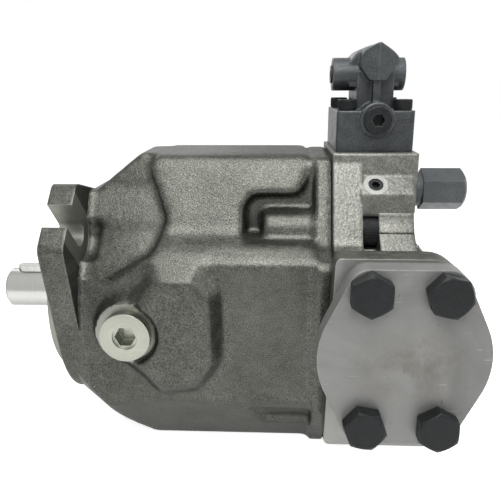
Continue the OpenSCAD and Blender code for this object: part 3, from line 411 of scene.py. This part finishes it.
def join_surface(tree, shader, skin, edge_radius, wear_and_highlight_colour, wear_and_highlight, bump, depth, painted_shade, sheen=0.5):
    """Joins a skin of colour, roughness and height, its worn edges with their painted highlight and its
    painted corner shade to the shader.
    """
    colour, rough, height = skin
    edges = place_group(tree, ROUNDED_EDGES, Radius=edge_radius)
    # Edges lightened towards the worn colour: wear, and a painted highlight where edges catch the light.
    colour = mix_colour(tree, product(tree, edges["Edge"], wear_and_highlight), colour, wear_and_highlight_colour)
    # Painted shade: corners darkened towards near black by their ambient occlusion, in patches.
    if painted_shade:
        corner_shade = place_group(tree, PAINTED_CORNER_SHADE)
        colour = mix_colour(tree, product(tree, corner_shade["Grime"], painted_shade), colour, grey(0.012, IRON))
    tree.links.new(colour, shader.inputs["Base Color"])
    tree.links.new(rough, shader.inputs["Roughness"])
    shader.inputs["Specular IOR Level"].default_value = sheen
    relief = add_node(tree, "ShaderNodeBump")
    relief.inputs["Strength"].default_value = bump
    relief.inputs["Distance"].default_value = depth
    feed(tree, height, relief.inputs["Height"])
    tree.links.new(edges["Normal"], relief.inputs["Normal"])
    tree.links.new(relief.outputs["Normal"], shader.inputs["Normal"])


# How far past a machined face its mask reaches.
MASK_SLACK = 0.2 * MM


def inside(tree, value, low, high):
    """1 where the value lies between two limits."""
    return product(tree, math_of(tree, "GREATER_THAN", value, low), math_of(tree, "LESS_THAN", value, high))


def housing_milled(tree):
    """Where the housing was machined: flange face, bolt slots, their spot faces and the drain faces."""
    place = object_place(tree)
    x, y, z = split(tree, place)
    reach = math_of(tree, "ABSOLUTE", product(tree, math_of(tree, "SUBTRACT", z, y), DIAGONAL))
    aside = math_of(tree, "ABSOLUTE", product(tree, math_of(tree, "ADD", z, y), DIAGONAL))
    face = math_of(tree, "LESS_THAN", x, MASK_SLACK)
    slots = product(
        tree,
        math_of(tree, "LESS_THAN", x, FLANGE_BACK_X + MASK_SLACK),
        math_of(tree, "LESS_THAN", aside, SLOT_HALF + MASK_SLACK),
        math_of(tree, "GREATER_THAN", reach, SLOT_BOTTOM_R - MASK_SLACK),
    )
    spots = product(
        tree,
        inside(tree, x, FLANGE_BACK_X - MASK_SLACK, FLANGE_BACK_X + MASK_SLACK),
        math_of(tree, "LESS_THAN", aside, SPOT_HALF),
        math_of(tree, "GREATER_THAN", reach, SPOT_FROM_R),
    )
    arm = vector_of(tree, "SUBTRACT", place, tuple(DRAIN_AXIS))
    across = vector_of(tree, "LENGTH", vector_of(tree, "MULTIPLY", arm, (1.0, 0.0, 1.0)))
    side = math_of(tree, "ABSOLUTE", y)
    drains = product(
        tree,
        inside(tree, side, DRAIN_FACE_Y - MASK_SLACK, DRAIN_FACE_Y + MASK_SLACK),
        math_of(tree, "LESS_THAN", across, DRAIN_FACE_R),
    )
    return most(tree, face, slots, spots, drains)


def cover_milled(tree):
    """Where the cover was machined: port pads, valve seat and the set screw's spot face."""
    place = object_place(tree)
    _, y, z = split(tree, place)
    pads = math_of(tree, "GREATER_THAN", math_of(tree, "ABSOLUTE", y), PAD_FACE_Y - MASK_SLACK)
    seat = math_of(tree, "GREATER_THAN", z, VALVE_SEAT_Z - MASK_SLACK)
    away = vector_of(tree, "LENGTH", vector_of(tree, "SUBTRACT", place, tuple(SET_SCREW)))
    spot = math_of(tree, "LESS_THAN", away, SET_SCREW_SPOT_R)
    return most(tree, pads, seat, spot)


# Depth of the relief in the cast, turned and plate finishes.
CAST_RELIEF = 0.5 * MM
TURNED_RELIEF = 0.2 * MM
PLATE_RELIEF = 0.3 * MM


def make_cast_material(
    name, dark, light, speck, speck_amount, contrast, metallic, edge_radius, wear_and_highlight,
    milled=None, milled_tone=None, smoothness=0.0, bump=0.55, painted_shade=0.5, sheen=0.3, grain=1500.0, rim=1.0,
):
    """Rough casting with worn edges that also carry a painted highlight, painted shade in its corners, and
    machined faces where it has them.
    """
    material, tree, shader = new_material(name)
    cast = place_group(
        tree, CAST_SKIN, Dark=dark, Light=light, Speck=speck, Speck_Amount=speck_amount,
        Grain_Contrast=contrast, Grain_Scale=grain, Smoothness=smoothness,
    )
    colour, rough, height = cast["Colour"], cast["Roughness"], cast["Height"]
    if milled:
        mask = milled(tree)
        marks = place_group(tree, TURNED_RINGS, Axis=(0.0, 0.0, 0.0), Fineness=1400.0)
        metal = place_group(
            tree, WORKED_METAL, Clean=milled_tone, Stained=light, Marks=marks["Marks"], Mark_Depth=0.10,
            Stain_Amount=0.35, Scratches=0.1, Base_Roughness=0.38,
        )
        colour = mix_colour(tree, mask, colour, metal["Colour"])
        rough = mix_value(tree, mask, rough, metal["Roughness"])
        height = mix_value(tree, mask, height, product(tree, metal["Height"], 0.15))
        edge_radius = mix_value(tree, mask, edge_radius, 0.4 * MM)
        wear_and_highlight = mix_value(tree, mask, wear_and_highlight, 0.1)
    shader.inputs["Metallic"].default_value = metallic
    shader.inputs["Specular Tint"].default_value = grey(rim)
    join_surface(
        tree, shader, (colour, rough, height), edge_radius, speck, wear_and_highlight, bump, CAST_RELIEF, painted_shade, sheen
    )
    return material


def make_turned_material(
    name, clean, stained, centre, axis, metallic=1.0, fineness=2600.0, depth=0.12, stain=0.3,
    scratches=0.15, roughness=0.28, edge_radius=0.5 * MM, bump=0.10, painted_shade=0.0, rim=0.0,
):
    """Turned or ground metal with rings about its axis, and painted shade where it turns away from the
    view.
    """
    material, tree, shader = new_material(name)
    marks = place_group(tree, TURNED_RINGS, Centre=centre, Axis=axis, Fineness=fineness)
    metal = place_group(
        tree, WORKED_METAL, Clean=clean, Stained=stained, Marks=marks["Marks"], Mark_Depth=depth,
        Stain_Amount=stain, Scratches=scratches, Base_Roughness=roughness,
    )
    colour = metal["Colour"]
    if rim:
        # Painted shade: the colour darkens towards the outline, where the surface turns away from the
        # camera.
        facing = add_node(tree, "ShaderNodeLayerWeight").outputs["Facing"]
        colour = mix_colour(tree, remap(tree, facing, 0.25, 0.85, 0.0, rim), colour, grey(0.05, STEEL))
    shader.inputs["Metallic"].default_value = metallic
    join_surface(
        tree, shader, (colour, metal["Roughness"], metal["Height"]), edge_radius,
        grey(0.60, STEEL), 0.35, bump, TURNED_RELIEF, painted_shade,
    )
    return material


# Where the oil smudge lies, from the middle of the plate.
SMUDGE_OFFSET = Vector((4.0, 0.0, -4.0)) * MM


def make_plate_material():
    """Blank plate: dull ground steel, oil-stained in the middle, with a few dark nicks."""
    material, tree, shader = new_material("plate_stained_steel")
    place = object_place(tree)
    grain = noise(tree, place, 1100.0, 3.0, 0.7)
    metal = place_group(
        tree, WORKED_METAL, Clean=grey(0.185, STEEL), Stained=grey(0.135, STEEL), Marks=grain,
        Mark_Depth=0.06, Stain_Scale=24.0, Stain_Amount=0.75, Scratches=0.22, Base_Roughness=0.46,
    )
    arm = vector_of(tree, "SUBTRACT", place, tuple(SUCTION_AXIS + SMUDGE_OFFSET))
    away = vector_of(tree, "LENGTH", vector_of(tree, "MULTIPLY", arm, (1.0, 0.0, 1.3)))
    near = remap(tree, away, 34.0 * MM, 4.0 * MM)
    smudge = remap(tree, noise(tree, place, 62.0, 6.0, 0.7, 0.8), 0.40, 0.64)
    oil = (0.095, 0.085, 0.065, 1.0)
    colour = mix_colour(tree, product(tree, smudge, near, 0.75), metal["Colour"], oil)
    stretched = vector_of(tree, "MULTIPLY", place, (620.0, 620.0, 210.0))
    nicks = remap(tree, noise(tree, stretched, 1.0, 1.0), 0.755, 0.80)
    colour = mix_colour(tree, product(tree, nicks, 0.7), colour, grey(0.06))
    shader.inputs["Metallic"].default_value = 0.35
    # The plate's edges are lightened as wear and as a painted bright rim; the last value is its painted
    # corner shade.
    join_surface(
        tree, shader, (colour, metal["Roughness"], metal["Height"]), 1.1 * MM, grey(0.42, STEEL), 0.6, 0.10,
        PLATE_RELIEF, 0.35,
    )
    return material


SHAFT_LINE = (0.0, 0.0, 0.0)
ALONG_X = (1.0, 0.0, 0.0)
ALONG_Y = (0.0, 1.0, 0.0)

# In each finish the edge value lightens edges, for wear and as a painted highlight, and the corner value
# darkens corners as painted shade.
FINISHES = {
    "housing_iron": make_cast_material(
        "housing_phosphated_iron", grey(0.045, IRON), grey(0.094, IRON), grey(0.46, IRON),
        speck_amount=0.32, contrast=0.80, metallic=0.75, edge_radius=2.0 * MM, wear_and_highlight=0.30,
        milled=housing_milled, milled_tone=grey(0.24, IRON), smoothness=0.23, bump=0.50, painted_shade=0.18,
        sheen=0.20, rim=0.5,
    ),
    "cover_iron": make_cast_material(
        "cover_phosphated_iron", grey(0.090, COVER), grey(0.185, COVER), grey(0.50, COVER),
        speck_amount=0.25, contrast=0.45, metallic=0.75, edge_radius=2.6 * MM, wear_and_highlight=0.30,
        milled=cover_milled, milled_tone=grey(0.22, STEEL), smoothness=0.21, bump=0.85, painted_shade=0.25,
        sheen=0.25, grain=950.0, rim=0.5,
    ),
    "plate_steel": make_plate_material(),
    "black_steel": make_cast_material(
        "black_oxide", grey(0.009, OXIDE), grey(0.018, OXIDE), grey(0.14, OXIDE),
        speck_amount=0.12, contrast=0.40, metallic=0.15, edge_radius=0.9 * MM, wear_and_highlight=0.40,
        smoothness=0.20, bump=0.25, painted_shade=0.5, sheen=0.18,
    ),
    "bright_steel": make_turned_material(
        "ground_steel", grey(0.43, STEEL), grey(0.32, STEEL), SHAFT_LINE, ALONG_X, depth=0.05,
        roughness=0.20, rim=0.75,
    ),
    "steel": make_turned_material(
        "turned_steel", grey(0.46, STEEL), grey(0.32, STEEL), SHAFT_LINE, ALONG_Y, roughness=0.32, rim=0.5
    ),
    "bronze": make_turned_material(
        "bearing_bronze", (0.60, 0.40, 0.17, 1), (0.34, 0.21, 0.08, 1), SHAFT_LINE, ALONG_X, roughness=0.34
    ),
    "rubber": make_cast_material(
        "seal_rubber", grey(0.010), grey(0.020), grey(0.05),
        speck_amount=0.05, contrast=0.3, metallic=0.0, edge_radius=0.5 * MM, wear_and_highlight=0.1,
        smoothness=0.05, bump=0.3, painted_shade=0.0,
    ),
}

PIECE_FINISHES = {
    "drain_plug": make_turned_material(
        "plug_turned_zinc", (0.29, 0.30, 0.255, 1), (0.21, 0.215, 0.185, 1), tuple(DRAIN_AXIS), ALONG_Y,
        fineness=3400.0, depth=0.14, roughness=0.27, bump=0.22, rim=0.4,
    ),
    "valve_body": make_cast_material(
        "valve_black_iron", grey(0.027, OXIDE), grey(0.062, OXIDE), grey(0.24, OXIDE),
        speck_amount=0.20, contrast=0.50, metallic=0.50, edge_radius=1.8 * MM, wear_and_highlight=0.45,
        smoothness=0.18, bump=0.55, painted_shade=0.5, sheen=0.4,
    ),
    "stop_cap": make_cast_material(
        "cap_blued_steel", grey(0.045, OXIDE), grey(0.075, OXIDE), grey(0.22, OXIDE),
        speck_amount=0.10, contrast=0.25, metallic=0.30, edge_radius=0.8 * MM, wear_and_highlight=0.55,
        smoothness=0.22, bump=0.20, painted_shade=0.4, sheen=0.5,
    ),
}


def dress_nodes():
    """Gives every CAD node its own finish, or the finish of its material slot."""
    slots = {part["node"]: part["material_slot"] for part in frame["record"]["subparts"]}
    for name, node in frame["nodes"].items():
        node.data.materials.clear()
        node.data.materials.append(PIECE_FINISHES.get(name, FINISHES[slots[name]]))


# The housing's cast skin.

SHARP_ANGLE = math.radians(35.0)
SKIN_VOXEL = 1.55 * MM
FILLET_ROUNDS = 24
# The flange in front of this plane was machined and keeps the node's own faces.
CAST_FROM_X = FLANGE_BACK_X + 1.1 * MM
# Machined zones that stay as they are, in millimetres.
CHAMBER_R = 58.2
PASSAGE_FROM_X, PASSAGE_HALF_Y, PASSAGE_HALF_Z = 47.0, 21.0, 84.5
DRAIN_BOSS_R, DRAIN_BOSS_FROM_Y = 18.5, 52.0
SPOT_ZONE_HALF, SPOT_ZONE_FROM_R, SPOT_ZONE_TO_X = 16.5, 53.0, 23.0
COLLAR_FROM_X, COLLAR_FULL_X = 140.0, 144.0
# The recess behind the neck has the softest walls, in millimetres.
RECESS_X = (100.0, 143.0)
RECESS_Z = (44.0, 92.0)
RECESS_BEFORE_Y = -20.0
# How soft the zones are, what the collar loses of it, and the run-in behind the flange in millimetres.
RECESS_SHARE, BODY_SHARE, SPOT_SHARE, COLLAR_LOSS = 1.0, 0.5, 0.15, 0.85
RUN_IN = 3.0


def ramp(value, low, high):
    """0 at low, 1 at high, straight between them."""
    return min(1.0, max(0.0, (value - low) / (high - low)))


def cast_share(point):
    """How much of the sand mould's softness a point of the housing has: none where it was machined."""
    x, y, z = point / MM
    reach = abs(z - y) * DIAGONAL
    aside = abs(z + y) * DIAGONAL
    in_chamber = math.hypot(y, z) < CHAMBER_R
    in_passages = x > PASSAGE_FROM_X and abs(y) < PASSAGE_HALF_Y and abs(z) < PASSAGE_HALF_Z
    from_drain = math.hypot(x - DRAIN_AXIS.x / MM, z - DRAIN_AXIS.z / MM)
    at_drain = from_drain < DRAIN_BOSS_R and abs(y) > DRAIN_BOSS_FROM_Y
    if in_chamber or in_passages or at_drain:
        return 0.0
    in_recess = RECESS_X[0] < x < RECESS_X[1] and RECESS_Z[0] < z < RECESS_Z[1] and y < RECESS_BEFORE_Y
    softest = RECESS_SHARE if in_recess else BODY_SHARE
    share = softest * ramp(x, CAST_FROM_X / MM, CAST_FROM_X / MM + RUN_IN)
    if aside < SPOT_ZONE_HALF and reach > SPOT_ZONE_FROM_R and x < SPOT_ZONE_TO_X:
        share = min(share, SPOT_SHARE)
    return min(share, 1.0 - COLLAR_LOSS * ramp(x, COLLAR_FROM_X, COLLAR_FULL_X))


def bake(piece):
    """Turns the piece's modifiers into its plain mesh."""
    ready = piece.evaluated_get(bpy.context.evaluated_depsgraph_get())
    mesh = bpy.data.meshes.new_from_object(ready)
    mesh.name = piece.name
    piece.modifiers.clear()
    piece.data = mesh
    return mesh


def cut_off(shape, plane_x, keep_front):
    """Cuts a bmesh across X, keeps one side and closes the cut."""
    cut = bmesh.ops.bisect_plane(
        shape, geom=shape.verts[:] + shape.edges[:] + shape.faces[:], dist=1e-7,
        plane_co=(plane_x, 0.0, 0.0), plane_no=(1.0, 0.0, 0.0),
        clear_outer=keep_front, clear_inner=not keep_front,
    )
    rim = [item for item in cut["geom_cut"] if isinstance(item, bmesh.types.BMEdge)]
    bmesh.ops.triangle_fill(shape, edges=rim, use_beauty=True)
    bmesh.ops.recalc_face_normals(shape, faces=shape.faces)


def make_cast_housing():
    """The housing with a casting's soft fillets behind its machined flange; it stands in for the node."""
    node = frame["nodes"]["pump_housing"]
    shape = bmesh.new()
    shape.from_mesh(node.data)
    bmesh.ops.remove_doubles(shape, verts=shape.verts, dist=1e-6)
    mesh = bpy.data.meshes.new("cast_housing")
    shape.to_mesh(mesh)
    piece = new_object("cast_housing", mesh)
    skin = piece.modifiers.new("even_skin", "REMESH")
    skin.mode = "VOXEL"
    skin.voxel_size = SKIN_VOXEL
    mesh = bake(piece)
    soft = piece.vertex_groups.new(name="cast_share")
    for vertex in mesh.vertices:
        soft.add([vertex.index], cast_share(vertex.co), "REPLACE")
    fillets = piece.modifiers.new("sand_fillets", "SMOOTH")
    fillets.factor = 0.5
    fillets.iterations = FILLET_ROUNDS
    fillets.vertex_group = soft.name
    mesh = bake(piece)
    piece.vertex_groups.clear()

    # the flange from the node and the cast body from the skin, in one mesh
    cut_off(shape, CAST_FROM_X, keep_front=True)
    for edge in shape.edges:
        edge.smooth = edge.calc_face_angle(0.0) < SHARP_ANGLE
    body = bmesh.new()
    body.from_mesh(mesh)
    cut_off(body, CAST_FROM_X, keep_front=False)
    body.to_mesh(mesh)
    body.free()
    shape.from_mesh(mesh)
    for face in shape.faces:
        face.smooth = True
        face.material_index = 0
    shape.to_mesh(mesh)
    shape.free()
    mesh.materials.clear()
    mesh.materials.append(FINISHES["housing_iron"])
    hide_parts("pump_housing")
    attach(piece, "pump_body")


# Front wall of the room for the upper cover screw: its span along X and its outer curve, Y and Z in mm.
WALL_SPAN_X = (178.05, 197.05)
WALL_FRONT = [(-42.05, 60.5), (-42.5, 58.0), (-43.6, 55.3), (-45.3, 52.6), (-47.2, 49.9)]
WALL_THICK = 1.3


def make_screw_room_wall():
    """The thin wall in front of the upper cover screw's room, which the real casting keeps closed."""
    ring = WALL_FRONT + [(y + WALL_THICK, z) for y, z in reversed(WALL_FRONT)]
    count = len(ring)
    points = [tuple(Vector((x, y, z)) * MM) for x in WALL_SPAN_X for y, z in ring]
    faces = [(i, (i + 1) % count, count + (i + 1) % count, count + i) for i in range(count)]
    for i in range(len(WALL_FRONT) - 1):
        end = (i, i + 1, count - 2 - i, count - 1 - i)
        faces += [end, tuple(corner + count for corner in end)]
    mesh = bpy.data.meshes.new("screw_room_wall")
    mesh.from_pydata(points, [], faces)
    shape = bmesh.new()
    shape.from_mesh(mesh)
    bmesh.ops.recalc_face_normals(shape, faces=shape.faces)
    shape.to_mesh(mesh)
    shape.free()
    mesh.shade_smooth()
    mesh.set_sharp_from_angle(angle=SHARP_ANGLE)
    mesh.materials.append(FINISHES["cover_iron"])
    piece = new_object("screw_room_wall", mesh)
    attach(piece, "pump_body")


# Repeated details, made by geometry nodes on a few points.


def new_detail_tree(name, sizes):
    """An empty geometry tree with named size inputs; returns the tree, its inputs and its output socket."""
    tree = bpy.data.node_groups.new(name, "GeometryNodeTree")
    tree.interface.new_socket("Points", in_out="INPUT", socket_type="NodeSocketGeometry")
    for label, kind in sizes:
        tree.interface.new_socket(label, in_out="INPUT", socket_type=kind)
    tree.interface.new_socket("Finish", in_out="INPUT", socket_type="NodeSocketMaterial")
    tree.interface.new_socket("Mesh", in_out="OUTPUT", socket_type="NodeSocketGeometry")
    return tree, add_node(tree, "NodeGroupInput").outputs, add_node(tree, "NodeGroupOutput").inputs["Mesh"]


def close_detail_tree(tree, instances, finish, result):
    """Turns the instances into one mesh with its finish."""
    real = add_node(tree, "GeometryNodeRealizeInstances")
    tree.links.new(instances, real.inputs["Geometry"])
    finished = add_node(tree, "GeometryNodeSetMaterial")
    tree.links.new(real.outputs["Geometry"], finished.inputs["Geometry"])
    tree.links.new(finish, finished.inputs["Material"])
    tree.links.new(finished.outputs["Geometry"], result)


def make_knurl_tree():
    """Ribs around a screw head, on each point, standing along Z and turned by Tilt."""
    tree, ins, result = new_detail_tree(
        "screw_head_knurl",
        [
            ("Ribs", "NodeSocketInt"),
            ("Head Radius", "NodeSocketFloat"),
            ("Rib Radius", "NodeSocketFloat"),
            ("Rib Length", "NodeSocketFloat"),
            ("Tilt", "NodeSocketVector"),
        ],
    )
    rib = add_node(tree, "GeometryNodeMeshCylinder")
    rib.inputs["Vertices"].default_value = 5
    tree.links.new(ins["Rib Radius"], rib.inputs["Radius"])
    tree.links.new(ins["Rib Length"], rib.inputs["Depth"])
    circle = add_node(tree, "GeometryNodeMeshCircle")
    tree.links.new(ins["Ribs"], circle.inputs["Vertices"])
    tree.links.new(ins["Head Radius"], circle.inputs["Radius"])
    around = add_node(tree, "GeometryNodeInstanceOnPoints")
    tree.links.new(circle.outputs["Mesh"], around.inputs["Points"])
    tree.links.new(rib.outputs["Mesh"], around.inputs["Instance"])
    heads = add_node(tree, "GeometryNodeInstanceOnPoints")
    tree.links.new(ins["Points"], heads.inputs["Points"])
    tree.links.new(around.outputs["Instances"], heads.inputs["Instance"])
    tree.links.new(ins["Tilt"], heads.inputs["Rotation"])
    close_detail_tree(tree, heads.outputs["Instances"], ins["Finish"], result)
    return tree


def make_thread_tree():
    """Thread crests of an adjusting screw: rings one pitch apart along Y, from each point on."""
    tree, ins, result = new_detail_tree(
        "screw_thread",
        [
            ("Crests", "NodeSocketInt"),
            ("Pitch", "NodeSocketFloat"),
            ("Core Radius", "NodeSocketFloat"),
            ("Crest Radius", "NodeSocketFloat"),
        ],
    )
    ring = add_node(tree, "GeometryNodeCurvePrimitiveCircle")
    ring.inputs["Resolution"].default_value = 40
    tree.links.new(ins["Core Radius"], ring.inputs["Radius"])
    crest = add_node(tree, "GeometryNodeCurvePrimitiveCircle")
    crest.inputs["Resolution"].default_value = 6
    tree.links.new(ins["Crest Radius"], crest.inputs["Radius"])
    solid = add_node(tree, "GeometryNodeCurveToMesh")
    tree.links.new(ring.outputs["Curve"], solid.inputs["Curve"])
    tree.links.new(crest.outputs["Curve"], solid.inputs["Profile Curve"])
    step = add_node(tree, "ShaderNodeCombineXYZ")
    tree.links.new(ins["Pitch"], step.inputs["Z"])
    row = add_node(tree, "GeometryNodeMeshLine")
    tree.links.new(ins["Crests"], row.inputs["Count"])
    tree.links.new(step.outputs["Vector"], row.inputs["Offset"])
    thread = add_node(tree, "GeometryNodeInstanceOnPoints")
    tree.links.new(row.outputs["Mesh"], thread.inputs["Points"])
    tree.links.new(solid.outputs["Mesh"], thread.inputs["Instance"])
    screws = add_node(tree, "GeometryNodeInstanceOnPoints")
    tree.links.new(ins["Points"], screws.inputs["Points"])
    tree.links.new(thread.outputs["Instances"], screws.inputs["Instance"])
    screws.inputs["Rotation"].default_value = (-math.pi / 2, 0.0, 0.0)
    close_detail_tree(tree, screws.outputs["Instances"], ins["Finish"], result)
    return tree


def grow_detail(name, tree, points_mm, body, slot, finish, **sizes):
    """Runs a detail tree on some points and keeps the result as a plain mesh on a body."""
    seed_mesh = bpy.data.meshes.new(name + "_points")
    seed_mesh.from_pydata([tuple(Vector(point) * MM) for point in points_mm], [], [])
    piece = new_object(name, seed_mesh)
    grow = piece.modifiers.new("detail", "NODES")
    grow.node_group = tree
    sizes["Finish"] = finish
    for item in tree.interface.items_tree:
        label = item.name.replace(" ", "_")
        if item.in_out == "INPUT" and label in sizes:
            grow[item.identifier] = sizes[label]
    bake(piece)
    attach(piece, body)


# Height of the middle of a screw head's knurl above its seat, in millimetres.
VALVE_KNURL_MID = 3.2
COVER_KNURL_MID = 6.2


def make_details():
    """Knurled screw heads and the threads of the two adjusting screws."""
    knurl = make_knurl_tree()
    thread = make_thread_tree()
    black = FINISHES["black_steel"]
    grow_detail(
        "valve_screw_knurl", knurl, [(x, y, VALVE_TOP_Z + VALVE_KNURL_MID) for x, y in VALVE_SCREWS],
        "pump_body", "black_steel", black,
        Ribs=44, Head_Radius=4.98 * MM, Rib_Radius=0.22 * MM, Rib_Length=4.6 * MM,
    )
    grow_detail(
        "cover_screw_knurl", knurl, [(COVER_SEAT_X + COVER_KNURL_MID, y, z) for y, z in COVER_SCREWS],
        "pump_body", "black_steel", black,
        Ribs=64, Head_Radius=8.97 * MM, Rib_Radius=0.28 * MM, Rib_Length=9.6 * MM,
        Tilt=(0.0, math.pi / 2, 0.0),
    )
    for body, height in ADJUSTERS.items():
        grow_detail(
            body.replace("_body", "_thread"), thread, [(ADJUSTER_X, ADJUSTER_THREAD_Y, height)],
            body, "steel", FINISHES["steel"],
            Crests=9, Pitch=1.0 * MM, Core_Radius=3.92 * MM, Crest_Radius=0.34 * MM,
        )


# Stage.

FLOOR_Z = cad_low.z - 0.2 * MM
FLOOR_HALF = 3.0
# What the floor adds to its lit colour where it is seen, and the surround as light.
FLOOR_SEEN = 0.84
SURROUND_LIGHT = 0.22


def seen_directly(tree):
    """1 for rays that show the stage itself: from the camera, off metal or through glass."""
    path = add_node(tree, "ShaderNodeLightPath").outputs
    return most(tree, path["Is Camera Ray"], path["Is Glossy Ray"], path["Is Transmission Ray"])


def make_floor():
    """A pale floor that reads as white and keeps the pump's shadow."""
    mesh = bpy.data.meshes.new("studio_floor")
    turns = [(-1, -1), (1, -1), (1, 1), (-1, 1)]
    corners = [(x * FLOOR_HALF, y * FLOOR_HALF, FLOOR_Z) for x, y in turns]
    mesh.from_pydata(corners, [], [(0, 1, 2, 3)])
    floor = new_object("studio_floor", mesh)
    material, tree, shader = new_material("studio_white")
    shader.inputs["Base Color"].default_value = (0.90, 0.90, 0.90, 1.0)
    shader.inputs["Roughness"].default_value = 0.9
    shader.inputs["Specular IOR Level"].default_value = 0.0
    shader.inputs["Emission Color"].default_value = (1.0, 1.0, 1.0, 1.0)
    tree.links.new(product(tree, seen_directly(tree), FLOOR_SEEN), shader.inputs["Emission Strength"])
    mesh.materials.append(material)


def make_world():
    """An even surround that the camera, metal and glass see as white."""
    world = bpy.data.worlds.new("studio_world")
    world.use_nodes = True
    bpy.context.scene.world = world
    tree = world.node_tree
    tree.nodes.clear()
    background = add_node(tree, "ShaderNodeBackground")
    background.inputs["Color"].default_value = (1.0, 1.0, 1.0, 1.0)
    strength = remap(tree, seen_directly(tree), 0.0, 1.0, SURROUND_LIGHT, 1.0)
    tree.links.new(strength, background.inputs["Strength"])
    output = add_node(tree, "ShaderNodeOutputWorld")
    tree.links.new(background.outputs["Background"], output.inputs["Surface"])


def make_lamp(name, place, target, size, power):
    """A soft square lamp aimed at a point."""
    data = bpy.data.lights.new(name, "AREA")
    data.size = size
    data.energy = power
    lamp = new_object(name, data)
    lamp.location = place
    lamp.rotation_mode = "QUATERNION"
    lamp.rotation_quaternion = (Vector(target) - Vector(place)).to_track_quat("-Z", "Y")


PUMP_MIDDLE = (cad_low + cad_high) / 2
# Name, place and size in metres, and power in watts.
LAMPS = [
    ("front_softbox", (0.10, -0.49, 0.46), 0.30, 2.6),
    ("top_softbox", (0.09, -0.19, 0.60), 0.36, 2.6),
    ("right_fill", (0.80, -0.35, 0.45), 0.5, 1.6),
    ("back_fill", (-0.20, 0.70, 0.60), 0.6, 2.2),
]

make_camera()
dress_nodes()
make_cast_housing()
make_screw_room_wall()
make_details()
make_floor()
make_world()
for lamp_name, lamp_place, lamp_size, lamp_power in LAMPS:
    make_lamp(lamp_name, lamp_place, PUMP_MIDDLE, lamp_size, lamp_power)

bpy.context.scene.view_settings.view_transform = "Standard"
